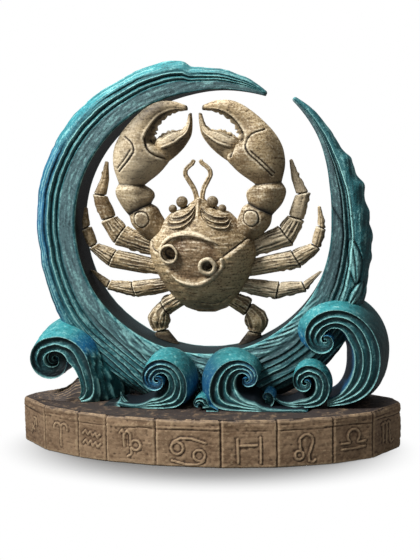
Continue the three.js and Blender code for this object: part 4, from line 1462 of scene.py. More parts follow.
        # Dark step behind each crest: dark wash deepened as painted shadow.
        step = window((0, 0.1), (0.35, 0.9), share) * (1 - alone)
        step = step + alone * window((0.06, 0.2), (0.35, 0.85), face)
        values["step"][:, :columns] = 0.9 * step
        foamy = self.foam * ease(*self.foam_zone, turn)
        values["crest"][:, flank] = foamy * ease(0.25, 0.5, froth)
        values["step"][:, flank] = 0.45 * foamy * ease(0.15, -0.25, froth)
        values["rim"][:, flank] = 1
        rise = np.linspace(1, 0, self.flank_columns)[None, :]
        values["stroke"][:, :columns] = 0.8 * grain(turn / 9, face * self.bands * 5, 67)
        values["stroke"][:, flank] = 0.6 * grain(turn / 9, rise * 16, 68)
        low, high = self.blue
        blue = np.maximum(ease(low + 40, low, turn), ease(high, high + 50, turn))
        values["blue"][:, flank] = blue * (1 - foamy)
        values["blue"][:, :columns] = self.face_blue * ease(20, 140, turn) + 0 * face
        # painted shade: on the flank's lower turns, on the face towards a hollow eye, and on the back
        values["dusk"][:, flank] = self.dusk * ease(75, 20, turn)
        values["dusk"][:, :columns] = min(self.hollow / 5, 1) * ease(170, 300, turn) + 0 * face
        rear = columns + self.wall_columns
        values["wall"][:, columns:rear] = 1
        values["blue"][:, columns:rear] = self.wall_blue
        values["dusk"][:, rear:rear + self.rear_columns] = 0.6
        return values


@dataclass
class Lick:
    """Low swell at the plinth's front, which rises to one pointed lick between two hollows."""

    name: str = "wave_low_left"
    x: float = -33.4
    half: float = 8.0
    front: float = -24.0
    back: float = -12.0
    height: float = 5.6
    slope: float = 2.2
    lines: int = 3
    rows: int = 161
    face_columns: int = 46
    rear_columns: int = 14

    def build(self, paint: Material) -> None:
        """Builds and dresses the swell.

        Args:
            paint: Its material.
        """
        along = np.linspace(-1, 1, self.rows)[:, None]
        peak = np.exp(-np.abs(along) / 0.13)
        rise = self.height * (0.2 + 0.8 * peak) * np.clip((1 - np.abs(along)) / 0.2, 0, 1) ** 0.5
        face = np.linspace(0, 1, self.face_columns)[None, :]
        rear = np.linspace(1, 0, self.rear_columns)[None, 1:]
        phase = face * self.lines
        cut = 0.5 * flute(phase) * np.minimum(1, rise / 2)
        crest = np.minimum(phase % 1, 1 - phase % 1) / self.lines * np.maximum(rise, 1)
        ahead = self.front + self.slope * face**1.4 + cut
        behind = self.front + self.slope + (1 - rear) * (self.back - self.front) + 0 * cut[:, :1]
        y = np.concatenate([ahead, behind, self.front + cut[:, :1]], axis=1)
        up = np.concatenate([face, rear, face[:, :1]], axis=1)
        x = self.x + self.half * along - 0.9 * peak * up**2
        points = np.stack(np.broadcast_arrays(x, y, PLINTH_TOP - 0.05 + rise * up), axis=2)
        light = np.zeros(up.shape) + 0 * rise
        light[:, :self.face_columns] = bell(crest, 0, 0.26) * ease(1.2, 2.4, rise)
        dark = np.zeros(light.shape)
        dark[:, :-1] = 0.9 * (1 - light[:, :-1])
        # The ends, where the swell is low, get painted shade.
        low = ease(3, 1.2, rise) + 0 * light
        sheet = Sheet(points, {"crest": light, "step": dark, "dusk": low}).round_ends(0.1, 0.1, 3)
        Bench.dress(f"{self.name}_carved", sheet, WAVE_WEAR, paint, Slot.WAVE, self.name)


@dataclass
class Spray:
    """Fan of spray at the foot of the left wave, grooved from the stem outwards."""

    y: float = -8.0
    grooves: int = 15
    rows: int = 110
    dome_columns: int = 130
    under_columns: int = 12
    wear: Point = (0.14, 0.6)
    stations: tuple[Spot, ...] = (
        (-50, 11, 8), (-56.2, 9.2, 9), (-60, 5.8, 10), (-65.3, 3, 9.5), (-76, 1, 4))

    def build(self, paint: Material) -> None:
        """Builds and dresses the spray.

        Args:
            paint: Its material.
        """
        places = [-station[0] for station in self.stations]
        along = np.linspace(places[0], places[-1], self.rows)
        rise, half = track(places, [station[1:] for station in self.stations], along).T
        turn = dome_turns(self.dome_columns, self.under_columns)
        dome = (turn <= np.pi + 1e-9) * 1.0
        wander = 0.5 * grain(along[:, None] / 9, turn[None, :] * 2, 190)
        fan = flute(turn[None, :] / np.pi * self.grooves + wander)
        height = np.abs(np.sin(turn)) ** 1.3 * dome
        cut = 1.2 * fan * height * ease(0, 4, rise)[:, None]
        x = np.broadcast_to(-along[:, None], cut.shape)
        y = self.y + half[:, None] * np.cos(turn)
        rough = 0.1 * grain(along[:, None], turn[None, :] * 8, 191) * height
        z = PLINTH_TOP + rise[:, None] * height - cut + rough
        ground = 1 - 0.8 * bell(fan, 0, 0.22) * ease(1, 4, rise)[:, None]
        sheet = Sheet(np.stack([x, y, z], axis=2), {"top": ground}).round_ends(0.2, 0.4, 4)
        sheet.over(PLINTH_TOP - 0.2)
        Bench.dress("wave_spray_carved", sheet, self.wear, paint, Slot.PLINTH, "wave_spray")


@dataclass(frozen=True)
class Section:
    """Section of a limb: its outer and inner edge points and half its depth."""

    outer: Point
    inner: Point
    deep: float

    def moved(self, out: float) -> "Section":
        """Same section further from the midline."""
        return Section((self.outer[0] + out, self.outer[1]), (self.inner[0] + out, self.inner[1]), self.deep)


@dataclass
class CrabFrame:
    """Place of the crab: upright measures turned into the statuette's frame."""

    x: float = -1.2
    sway: float = 0.025
    lean: float = 0.12
    upright: float = -15.0

    def point(self, side: int, out: Array, up: Array, forward: Array) -> Array:
        """Points of the crab.

        Args:
            side: 1 on the viewer's right and -1 on the left.
            out: Distance from the midline.
            up: Height over the ring's middle.
            forward: Distance in front of the crab's middle plane.

        Returns:
            Points in millimetres.
        """
        x = self.x + side * out - self.sway * (up - self.upright)
        y = -self.lean * (up - self.upright) - forward
        return np.stack(np.broadcast_arrays(x, y, RING_Z + up), axis=-1)


@dataclass
class Loft:
    """Limb skinned over sections: rows along it and columns round it."""

    crab: CrabFrame
    side: Side
    sections: list[Section]
    forward: float = 0.0
    step: float = 0.22
    columns: int = 96
    rounded: bool = True
    box: float = 1.0

    def __post_init__(self) -> None:
        """Works out the rows."""
        outer = np.array([section.outer for section in self.sections])
        inner = np.array([section.inner for section in self.sections])
        deep = np.array([section.deep for section in self.sections])
        self.knots = chord_places((outer + inner) / 2)
        self.along = np.linspace(0, self.knots[-1], int(self.knots[-1] / self.step) + 1)
        both = np.hstack([outer, inner])
        if self.rounded:
            edges = hermite(self.knots, both, np.gradient(both, self.knots, axis=0), self.along)
            self.deep = track(self.knots, deep, self.along)[:, 0]
        else:
            edges = np.stack([np.interp(self.along, self.knots, column) for column in both.T], axis=1)
            self.deep = np.interp(self.along, self.knots, deep)
        self.turn = np.linspace(0, 2 * np.pi, self.columns + 1)
        reach = np.sign(np.cos(self.turn)) * np.abs(np.cos(self.turn)) ** self.box
        depth = np.sign(np.sin(self.turn)) * np.abs(np.sin(self.turn)) ** self.box
        middle = (edges[:, :2] + edges[:, 2:]) / 2
        half = (edges[:, :2] - edges[:, 2:]) / 2
        self.out = middle[:, :1] + half[:, :1] * reach
        self.up = middle[:, 1:] + half[:, 1:] * reach
        self.front = self.deep[:, None] * depth + self.forward

    def sheet(self) -> Sheet:
        """Surface of the limb."""
        return Sheet(self.crab.point(self.side.value, self.out, self.up, self.front))

    def facing(self) -> Array:
        """Share by which each column faces the front, from 0 to 1."""
        return ease(0.05, 0.5, np.sin(self.turn))[None, :]

    def rough(self, seed: int, height: float = 0.09) -> Array:
        """Chisel grain that runs along the limb.

        Args:
            seed: Seed of the grain.
            height: Height in millimetres.

        Returns:
            Height by row and column.
        """
        along = self.along[:, None]
        turn = self.turn[None, :] * 6 / np.pi
        long = grain(along / 5, turn * 1.6, seed)
        short = grain(along / 1.4, turn, seed + 1)
        return height * (0.7 * long + 0.5 * short) * np.sin(self.turn / 2)[None, :] ** 0.2


@dataclass
class Claw:
    """Arm, wrist, palm and finger of one raised claw."""

    crab: CrabFrame
    side: Side
    shift: float
    boss_place: Point
    plate: tuple[Points, ...]
    crevice: Points
    forward: float = 2.0
    boss_radius: float = 3.1
    tooth_height: float = 1.2
    # painted highlight on the front of the wrist and palm
    pale: float = 0.0
    hollow: Point = (23.4, 14.4)
    arm: tuple[Section, ...] = (
        Section((19, -8.1), (14, -1.1), 4.5), Section((26.4, -4), (17.2, 5), 6.2),
        Section((30.2, 0.6), (18.8, 8), 6.6), Section((31, 4.2), (21, 9.4), 5.4),
    )
    wrist: tuple[Section, ...] = (
        Section((31, 4.2), (21, 9.4), 5.4), Section((35.8, 9.8), (20.4, 13), 7.2),
        Section((37.2, 15.4), (21.8, 15.6), 7.4), Section((35.6, 18.2), (24.4, 17.4), 5.8),
    )
    palm: tuple[Section, ...] = (
        Section((35.6, 18.2), (24.4, 17.4), 5.8), Section((37.4, 26.4), (16, 24.1), 8.4),
        Section((36.6, 32.9), (12.8, 29.1), 8.8), Section((33, 39.5), (18.3, 35.9), 7.6),
        Section((26, 46.7), (18, 40.4), 5.2), Section((16.5, 52.4), (13.5, 45.9), 4),
        Section((10, 52.7), (9, 48.1), 2.8), Section((4.3, 50.9), (4, 48.7), 1.4),
    )
    finger: tuple[Section, ...] = (
        Section((15, 26), (20.5, 34.5), 3.6), Section((8.5, 30.9), (16, 38.3), 4.6),
        Section((5, 34.7), (11.4, 40.2), 4), Section((2.6, 38.8), (7, 40.6), 3),
        Section((1.9, 43.6), (4.5, 43), 1.9), Section((1.9, 47.2), (3.5, 46.9), 1),
    )

    def build(self, paint: Material) -> None:
        """Builds and dresses the four pieces.

        Args:
            paint: Their material.
        """
        for name, sheet in (("arm", self._arm()), ("wrist", self._wrist()), ("palm", self._palm()),
                            ("finger", self._finger())):
            node = f"{name}_{self.side.word}"
            Bench.dress(f"{node}_carved", sheet, LIMB_WEAR, paint, Slot.CRAB, node)

    def _loft(self, sections: tuple[Section, ...], shift: float, columns: int) -> Loft:
        """Limb of this claw, moved outwards by a shift."""
        moved = [section.moved(shift) for section in sections]
        return Loft(self.crab, self.side, moved, self.forward, columns=columns)

    @staticmethod
    def _seams(loft: Loft) -> Array:
        """Dark paint in the seams at both ends of a limb."""
        return 0.8 * (bell(loft.along, 0, 0.6) + bell(loft.along, loft.knots[-1], 0.5))[:, None]

    def _arm(self) -> Sheet:
        """Upper arm with a flat boss in a curved groove.

        Returns:
            Surface of the arm.
        """
        loft = self._loft(self.arm, 0, 110)
        x = loft.out - self.boss_place[0]
        z = loft.up - self.boss_place[1]
        away = np.hypot(x, z) + 0.3 * grain(np.arctan2(z, x) * 1.3, 0 * x, 72)
        facing = loft.facing()
        disc = (1 - ease(self.boss_radius - 0.2, self.boss_radius + 0.2, away)) * facing
        groove = bell(away, self.boss_radius + 0.4, 0.3) * facing
        height = 0.2 * disc - 0.6 * groove * (0.5 + 0.5 * ease(-2, 2, x + z))
        sheet = loft.sheet().push(height + loft.rough(70))
        open_side = ease(-1.5, 1.5, x + z)
        dark = self._seams(loft) + 0.75 * groove * (0.4 + 0.6 * open_side)
        sheet.paint = {"wash_and_shade": dark, "pale": 0.25 * disc}
        return sheet.round_ends(0.6, 0.5)

    def _wrist(self) -> Sheet:
        """Wrist: a flared knuckle, hollowed at the inner side under the palm.

        Returns:
            Surface of the wrist.
        """
        first = self._loft(self.wrist, 0, 90)
        loft = self._loft(self.wrist, self.shift, 90)
        settle = ease(0, loft.knots[1], loft.along)[:, None]
        loft.out = first.out + (loft.out - first.out) * settle
        hollow = bell(np.hypot(loft.out - self.hollow[0], loft.up - self.hollow[1]), 0, 3.2) * loft.facing()
        sheet = loft.sheet().push(loft.rough(74, 0.12) - 0.7 * hollow)
        joint = bell(loft.along, 0.8, 1.1)[:, None]
        dark = self._seams(loft) + 0.8 * joint + 0.45 * hollow
        # painted highlight on the front
        sheet.paint = {"wash_and_shade": dark, "pale": self.pale * loft.facing() + 0 * hollow}
        return sheet.round_ends(0.4, 0.5)

    def _palm(self) -> Sheet:
        """Palm with the lines of its plates, and the fixed finger with a toothed hollow under its ridge.

        Returns:
            Surface of the palm.
        """
        loft = self._loft(self.palm, self.shift, 150)
        facing = loft.facing()
        root = ease(loft.knots[3], loft.knots[1], loft.along)[:, None]
        edge, line = (carved_line(stroke, 40, loft.out, loft.up, 0.36) for stroke in self.plate)
        groove = (edge + 0.7 * line) * facing
        split = carved_line(self.crevice, 40, loft.out, loft.up, 0.55) * facing
        jaw, recess, ridge, teeth = self._bite(loft, loft.knots[3], loft.knots[-1], 8)
        height = loft.rough(78, 0.08) - 0.6 * groove - 1.1 * split
        height += jaw * (0.5 * ridge - 1.5 * recess + self.tooth_height * teeth)
        sheet = loft.sheet().push(height)
        # Painted shadow of the ring on the left palm, near the ring's inner edge.
        away = np.hypot(sheet.points[..., 0] - RING_X, sheet.points[..., 2] - RING_Z)
        painted_ring_shadow = 0.8 * ease(RING_RADIUS - 9, RING_RADIUS - 2, away) * ease(-8, -18, sheet.points[..., 0])
        dark = self._seams(loft) + 0.7 * groove + 0.9 * split + painted_ring_shadow
        sheet.paint = {
            "wash_and_shade": dark + 0.8 * jaw * recess * (1 - 0.8 * teeth),
            # painted highlight on the front of the left palm, plus dry-brushed ridge and teeth
            "pale": self.pale * facing * (1 + root) + jaw * (0.7 * ridge + 0.5 * teeth),
        }
        return sheet.round_ends(0.4, 0.6)

    def _finger(self) -> Sheet:
        """Free finger: a smooth pale pad over a ridge, an underside darkened by painted shade, and small teeth.

        Returns:
            Surface of the finger.
        """
        loft = self._loft(self.finger, self.shift, 110)
        share = (loft.along / loft.knots[-1])[:, None]
        turn = loft.turn[None, :]
        body = window((0.1, 0.22), (0.85, 1), share)
        off = turn - 1.4 - 0.45 * (1 - ease(0.05, 0.45, share))
        ridge = bell(off, 0, 0.13) * body
        under = ease(0.05, 0.25, turn) * (1 - ease(-0.3, -0.08, off)) * body
        pad = ease(0.1, 0.28, off) * (1 - ease(2.5, 2.7, turn)) * body
        jaw, recess, _, teeth = self._bite(loft, loft.knots[1], loft.knots[-1], 7)
        height = 0.6 * ridge - 0.55 * under + 0.3 * pad + loft.rough(82, 0.07)
        height += jaw * (0.7 * self.tooth_height * teeth - 0.6 * recess)
        sheet = loft.sheet().push(height)
        sheet.paint = {
            # painted shade on the underside, dark wash in the seams and the jaw
            "wash_and_shade": self._seams(loft) + 0.5 * under + 0.5 * jaw * recess * (1 - teeth),
            "pale": 0.55 * pad + 0.6 * ridge + 0.3 * jaw * teeth,
        }
        return sheet.round_ends(0.4, 0.6)

    @staticmethod
    def _bite(loft: Loft, start: float, end: float, count: int) -> tuple[Array, Array, Array, Array]:
        """Biting edge of a limb.

        Args:
            loft: Limb that bites.
            start: Place along it where the edge starts.
            end: Place along it where the edge ends.
            count: Number of teeth.

        Returns:
            Shares of the jaw, of the hollow beside its edge, of the ridge over that and of the teeth.
        """
        share = ((loft.along - start) / (end - start))[:, None]
        size = np.clip(loft.deep / 5, 0.25, 1)[:, None]
        jaw = window((-0.1, 0.05), (0.86, 0.98), share) * size
        off = np.abs(loft.turn - np.pi)[None, :]
        recess = (1 - ease(0.8, 1, off)) * ease(0.08, 0.3, off)
        ridge = bell(off, 1.1, 0.12)
        row = np.abs(np.sin(np.pi * count * share + 0.8 * grain(share * count * 0.8, 0 * share, 90)))
        teeth = row * bell(off, 0, 0.3) * (0.7 + 0.4 * grain(share * count, off * 6, 91))
        return jaw, recess, ridge, teeth


def claws(crab: CrabFrame) -> list[Claw]:
    """Both claws, which differ in the place of the boss and in the lines on the palm.

    Args:
        crab: Place of the crab.

    Returns:
        Left and right claw.
    """
    left = Claw(
        crab, Side.LEFT, -1.0, (24.8, 2.9),
        (((28.9, 38.1), (25.7, 35), (25.2, 32.5), (27.9, 28.4), (32.7, 23.5)),
         ((26.7, 32.6), (29.2, 29.3), (33.6, 24.8))),
        # painted highlight on the left claw's front
        ((20.6, 37.4), (19, 32.6), (15.8, 29.8), (12, 28.6)), pale=0.3,
    )
    right = Claw(
        crab, Side.RIGHT, 0.0, (22.6, 3.3),
        (((30, 40.3), (24.1, 37.9), (21.8, 33.5), (23.1, 30.6), (26.9, 26.9), (32.4, 21)),
         ((24.4, 31.2), (28, 27.9), (33.4, 22.2))),
        ((18.4, 38.8), (16.6, 34), (14.8, 29.2)),
    )
    return [left, right]


@dataclass
class Leg:
    """Walking leg: flared segments with seams between them and broken ribs along the thick ones."""

    crab: CrabFrame
    side: Side
    number: int
    sections: list[Section]
    seams: tuple[int, ...]
    ribbed: int
    ribs: int = 17
    rib_depth: float = 0.4
    rounded: bool = False
    puff: float = 0.3
    foot: float = 0.0
    # painted highlight over the whole leg
    pale: float = 0.0
    seam_depth: float = 0.95
    seam_width: float = 0.3

    def build(self, paint: Material) -> None:
        """Builds and dresses the leg."""
        node = f"leg_{self.number}_{self.side.word}"
        Bench.dress(f"{node}_carved", self._sheet(), LIMB_WEAR, paint, Slot.CRAB, node)

    def _sheet(self) -> Sheet:
        """Leg with its seams, ribs, ragged edge and grain.

        Returns:
            Surface of the leg.
        """
        loft = Loft(self.crab, self.side, self.sections, rounded=self.rounded, box=0.9)
        along = loft.along
        height = np.zeros(len(along))
        dark = np.zeros(len(along))
        joints = loft.knots[[0, *self.seams]]
        for seam in joints[1:]:
            before = np.where(along < seam, seam - along, 99)
            after = np.where(along >= seam, along - seam, 99)
            height += 0.4 * np.exp(-before / 1.1) - 0.25 * np.exp(-after / 1.6)
            height -= self.seam_depth * bell(along, seam + 0.1, self.seam_width)
            dark += 0.8 * bell(along, seam + 0.15, self.seam_width * 1.2)
        for start, end in zip(joints[:-1], joints[1:]):
            height += self.puff * np.sin(np.pi * np.clip((along - start) / (end - start), 0, 1)) ** 0.6
        dark += self.foot * ease(loft.knots[-2] - 0.5, loft.knots[-2] + 2.5, along)
        seed = 100 + self.number * 7 + self.side.value
        ribs = self._rib_relief(loft, seed)
        turn = loft.turn[None, :]
        edge = bell(np.minimum(turn, 2 * np.pi - turn), 0, 0.5)
        ragged = 0.45 * np.clip(grain(along[:, None] / 1.3, 0 * turn, seed + 9), -0.4, 1) * edge
        outer = ease(*loft.knots[1:3], along)[:, None]
        facet = -0.15 * bell(turn, 1.0 + 0.012 * along[:, None], 0.16) * outer
        sheet = loft.sheet().push(height[:, None] + ribs + ragged + facet + loft.rough(seed, 0.12))
        dark = dark[:, None] + 0.6 * ease(0.14, 0.36, -ribs)
        sheet.paint = {"wash_and_shade": dark, "pale": np.full(ribs.shape, self.pale)}
        return sheet.round_ends(0.4, 0.6)

    def _rib_relief(self, loft: Loft, seed: int) -> Array:
        """Ribs along the first segments, broken here and there like bark.

        Args:
            loft: Rows of the leg.
            seed: Seed of the grain.

        Returns:
            Height by row and column, in millimetres.
        """
        start = loft.knots[0]
        end = loft.knots[self.ribbed]
        ribbed = window((start, start + 3), (end - 1.8, end - 0.6), loft.along)
        along = loft.along[:, None]
        turn = loft.turn[None, :]
        wander = 0.35 * grain(along / 9, turn * 1.5, seed + 3) + 0.15 * grain(along / 3, turn * 4, seed + 4)
        broken = ease(-0.5, 0.3, grain(along / 4, turn * 4, seed + 5))
        hollow = flute(turn * self.ribs / (2 * np.pi) + wander)
        return -self.rib_depth * hollow * (0.25 + 0.75 * broken) * ribbed[:, None]


@dataclass(frozen=True)
class ShellStation:
    """Width and bulge of the body at one height."""

    up: float
    half: float
    bulge: float


@dataclass
class CrabBody:
    """Carapace, belly, brows, eyes, antennae and the sign on the back."""

    crab: CrabFrame
    shell: tuple[ShellStation, ...] = tuple(ShellStation(*row) for row in (
        (-36.1, 8.5, 6), (-34, 11.5, 8.5), (-30.5, 14.7, 11.5), (-24.4, 18.8, 14.2),
        (-18.1, 21.8, 15.6), (-11.1, 23.2, 16), (-6.6, 22.6, 15), (-2.6, 19.8, 13.4),
        (2.9, 15.2, 10.5), (5.8, 12.2, 8.3), (7.1, 8, 7.2), (10.6, 2.8, 3.6),
    ))
    belly: tuple[ShellStation, ...] = tuple(ShellStation(*row) for row in (
        (-38.4, 4.5, 4), (-36.5, 9.5, 6.5), (-30.5, 14.4, 8), (-18.1, 21.4, 9), (-8, 22.3, 9),
        (2.9, 14.8, 7), (5.8, 11.8, 5.8), (7.1, 7.6, 5), (10.2, 2.7, 3),
    ))
    crown: float = 0.85
    relief: float = 2.0
    brow_relief: float = 1.8
    sign_stroke: float = 2.0
    upper_cup: tuple[Point, float, float] = ((-12.5, -11.5), 4.3, 3.2)
    lower_cup: tuple[Point, float, float] = ((4.2, -16.6), 4.0, 2.1)
    upper_sweep: Points = (
        (-16.4, -9.6), (-15, -7.2), (-12.6, -4.9), (-7.4, -3), (-1, -3), (4.8, -5), (10.2, -8))
    lower_sweep: Points = (
        (10.2, -13.6), (10.2, -16.8), (8, -19.6), (4.3, -22.7), (0, -24.6), (-5, -24.6), (-9, -23.2),
        (-12.8, -19.8))
    brow_top: Points = ((1, 9.2), (2.1, 8), (4, 6.2), (7.2, 4.6), (10.2, 4.2), (12.4, 4))
    brow_foot: Points = ((0.9, 7.4), (1.6, 4), (4.4, 0.9), (9.6, -0.9), (13, -0.5), (13.8, 1.8))
    large_eye: tuple[float, float, float, float] = (6.6, 10.1, 3.0, 2.5)
    small_eye: tuple[float, float, float, float] = (10.7, 7.2, 3.4, 1.8)
    antenna: Points = (
        (1.25, 7.5), (1.2, 11.7), (2.2, 15.8), (4.2, 19.4), (5.4, 21.8), (5.2, 23.5), (3.8, 25.2), (2, 26.7),
        (1.5, 27.6))
    antenna_radius: float = 1.1
    antenna_forward: float = 1.5
    fold: Points = ((-21.1, -6.8), (-20.3, -9.8), (-17.5, -11.3))
    belly_line: Points = ((-0.6, -33.7), (4.6, -34.1), (9, -32.8), (12.1, -30.5))
    bulge_at: Point = (15.4, -9.2)
    dome_columns: int = 190
    under_columns: int = 26
    wear: Point = (0.16, 0.8)
    thin_wear: Point = (0.48, 2.4)

    def build(self, paint: Material) -> None:
        """Builds and dresses every piece of the body.

        Args:
            paint: Their material.
        """
        sheets = {"carapace": self._carapace(), "belly_shell": self._belly()}
        for side in Side:
            sheets[f"brow_{side.word}"] = self._brow(side)
            sheets[f"eye_large_{side.word}"] = self._eye(side, self.large_eye)
            sheets[f"eye_small_{side.word}"] = self._eye(side, self.small_eye)
            sheets[f"antenna_{side.word}"] = self._antenna(side)
        for node, sheet in sheets.items():
            wear = self.thin_wear if "eye" in node or "antenna" in node else self.wear
            Bench.dress(f"{node}_carved", sheet, wear, paint, Slot.CRAB, node)
        for node, sweep, cup in (("emblem_upper", self.upper_sweep, self.upper_cup),
                                 ("emblem_lower", self.lower_sweep, self.lower_cup)):
            Bench.dress(f"{node}_sweep", self._sweep(sweep), self.wear, paint, Slot.CRAB, node)
            Bench.dress(f"{node}_cup", self._cup(*cup), self.wear, paint, Slot.CRAB)

    def _front(self, out: Array, up: Array) -> Array:
        """Front of the carapace.

        Args:
            out: Distance from the midline.
            up: Height over the ring's middle.

        Returns:
            Distance in front of the crab's middle plane.
        """
        places = [station.up for station in self.shell]
        rows = [(station.half, station.bulge) for station in self.shell]
        half, bulge = track(places, rows, np.ravel(up)).T
        share = np.clip(1 - (np.ravel(out) / half) ** 2, 0, 1)
        return (bulge * share ** (self.crown / 2)).reshape(np.shape(up))

    def _dome(self, stations: tuple[ShellStation, ...], facing: int,
              rows: int) -> tuple[Sheet, Array, Array, Array]:
        """Half of the body.

        Args:
            stations: Width and bulge by height.
            facing: 1 for the back of the crab and -1 for its belly.
            rows: Rows from bottom to top.

        Returns:
            Surface, distance out, height and a mask of the domed columns.
        """
        places = [station.up for station in stations]
        up = np.linspace(places[0], places[-1], rows)
        half, bulge = track(places, [(station.half, station.bulge) for station in stations], up).T
        turn = dome_turns(self.dome_columns, self.under_columns)
        domed = (turn <= np.pi + 1e-9) * 1.0
        out = half[:, None] * np.cos(turn)
        rise = np.abs(np.sin(turn)) ** self.crown * domed - 0.04 * np.abs(np.sin(turn)) * (1 - domed)
        up = np.broadcast_to(up[:, None], out.shape)
        sheet = Sheet(self.crab.point(1, out, up, facing * bulge[:, None] * rise))
        return sheet, out, up, np.broadcast_to(domed, out.shape)

    def _carapace(self) -> Sheet:
        """Domed back: a sunk field round the sign, a bulge beside it, folds and brushed grain.

        Returns:
            Surface of the carapace.
        """
        sheet, out, up, domed = self._dome(self.shell, 1, 230)
        height = 0.12 * grain(out / 6, up / 0.8, 130) + 0.1 * grain(out / 2.2, up / 1.6, 131)
        height += 0.22 * grain(out / 7, up / 6, 132)
        field = np.hypot((out + 2.5) / 14.2, (up + 13.7) / 11.2)
        sunk = (1 - ease(0.76, 0.95, field)) * (1 - ease(4, 12, out) * bell(up, -13, 5))
        height -= 1.0 * sunk
        x = out - self.bulge_at[0]
        z = up - self.bulge_at[1]
        below = 0.6 * x - 0.8 * z
        fold = ease(-0.3, 1.5, below) * np.exp(-np.clip(below, 0, 30) / 7) * bell(0.8 * x + 0.6 * z, 0, 7)
        crease = bell(below, -0.1, 0.3) * bell(0.8 * x + 0.6 * z, 0, 6.5)
        height += 1.1 * fold - 0.5 * crease
        for stroke in (self.fold, self.belly_line):
            height -= 0.7 * carved_line(stroke, 24, out, up, 0.42)
        holes = np.zeros(out.shape)
        for (cup_out, cup_up), _, bore in (self.upper_cup, self.lower_cup):
            holes += 1 - ease(bore - 0.7, bore + 0.2, np.hypot(out - cup_out, up - cup_up))
        height -= 1.6 * holes
        height += 1.2 * bell(out, 0, 0.9) * ease(0, 8, up)
        sheet.push(height * domed * ease(0, 0.12, domed * (self._front(out, up) / 16)))
        sheet.paint = {"ruddy": 0.8 * sunk * domed, "wash_and_shade": np.maximum(0.35 * holes, 0.5 * crease) * domed}
        return sheet.round_ends(1.2, 1)

    def _belly(self) -> Sheet:
        """Underside with the plates and the folded tail flap of a crab.

        Returns:
            Surface of the belly.
        """
        sheet, out, up, domed = self._dome(self.belly, -1, 150)
        sheet.points[..., 1] += 0.3
        flap = 4.6 - 0.09 * (up + 34)
        wide = np.abs(out)
        edge = bell(wide - np.clip(flap, 1.2, 5), 0, 0.4) * window((-37, -35), (-12, -9), up)
        bars = flute(up / 4.2) * (wide < flap) * window((-36, -34), (-14, -11), up)
        plates = bell((up + 0.45 * wide + 2) % 6.5, 3.2, 0.4) * (wide > flap + 0.6) * ease(8, 4, up)
        height = 0.1 * grain(out / 3, up / 1.5, 140) + 0.15 * grain(out / 6, up / 6, 141)
        height -= 0.8 * edge + 0.5 * bars + 0.6 * plates
        return sheet.push(height * domed).round_ends(0.8, 0.8)

    def _brow(self, side: Side) -> Sheet:
        """Brow lobe: nested ridges that gather at its upper edge.

        Args:
            side: Side of the crab.

        Returns:
            Surface of the lobe.
        """
        count = 90
        across = np.linspace(0, 1, 46)[:, None]
        share = np.linspace(0, 1, count)[None, :]
        upper = bend_through(self.brow_top, count)
        lower = bend_through(self.brow_foot, count)
        place = upper[None] * (1 - across[..., None]) + lower[None] * across[..., None]
        hollow = flute((across - 0.06) / 0.44 + 0 * share)
        edge = np.clip(np.minimum(across, 1 - across) / 0.06, 0, 1) ** 0.6
        edge = edge * np.clip(np.minimum(share, 1 - share) / 0.05, 0, 1) ** 0.6
        height = self.brow_relief * edge * (1 - 0.8 * hollow) - 0.3
        height = height + 0.06 * grain(place[..., 0] / 1.5, place[..., 1] / 1.5, 150)
        forward = self._front(place[..., 0], place[..., 1]) + height
        forward = np.concatenate([forward[:1] - 1.4, forward, forward[-1:] - 1.4])
        place = np.concatenate([place[:1], place, place[-1:]])
        dark = 0.75 * ease(0.5, 0.95, hollow)
        dark = np.concatenate([dark[:1] * 0 + 0.6, dark, dark[-1:] * 0 + 0.6])
        points = self.crab.point(side.value, place[..., 0], place[..., 1], forward)
        return Sheet(points, {"wash_and_shade": dark}, wraps=False)

    def _sweep(self, sweep: Points) -> Sheet:
        """Raised stroke of the sign, tapering to a point, with painted highlight along its top and painted
        shadow along both edges of its foot.

        Args:
            sweep: Points of the stroke.

        Returns:
            Surface of the stroke.
        """
        line = bend_through(sweep, 110)
        along = unit(np.gradient(line, axis=0))
        normal = np.column_stack([-along[:, 1], along[:, 0]])
        share = np.linspace(0, 1, len(line))
        half = self.sign_stroke / 2 * (0.85 + 0.4 * np.sin(share * np.pi)) * (1 - share**8)
        turn = np.linspace(0, 2 * np.pi, 33)
        place = line[:, None] + normal[:, None] * (half[:, None] * np.cos(turn))[..., None]
        swell = np.where(np.sin(turn) > 0, np.sin(turn) ** 0.8 * self.relief, np.sin(turn) * 1.4)
        height = swell * np.minimum(1, half / (0.7 * half.max()))[:, None]
        height = height + 0.08 * grain(share[:, None] * 18, turn[None] * 1.5, 160)
        forward = self._front(place[..., 0], place[..., 1]) - 0.3 + height
        face = np.broadcast_to(np.sin(turn), height.shape)
        # painted highlight along the top, painted shadow along both edges of the foot
        paint = {"pale": 0.4 * ease(0.5, 0.9, face), "wash_and_shade": 0.9 * bell(face, 0, 0.35)}
        return Sheet(self.crab.point(1, place[..., 0], place[..., 1], forward), paint).round_ends(0.6, 0.2, 4)

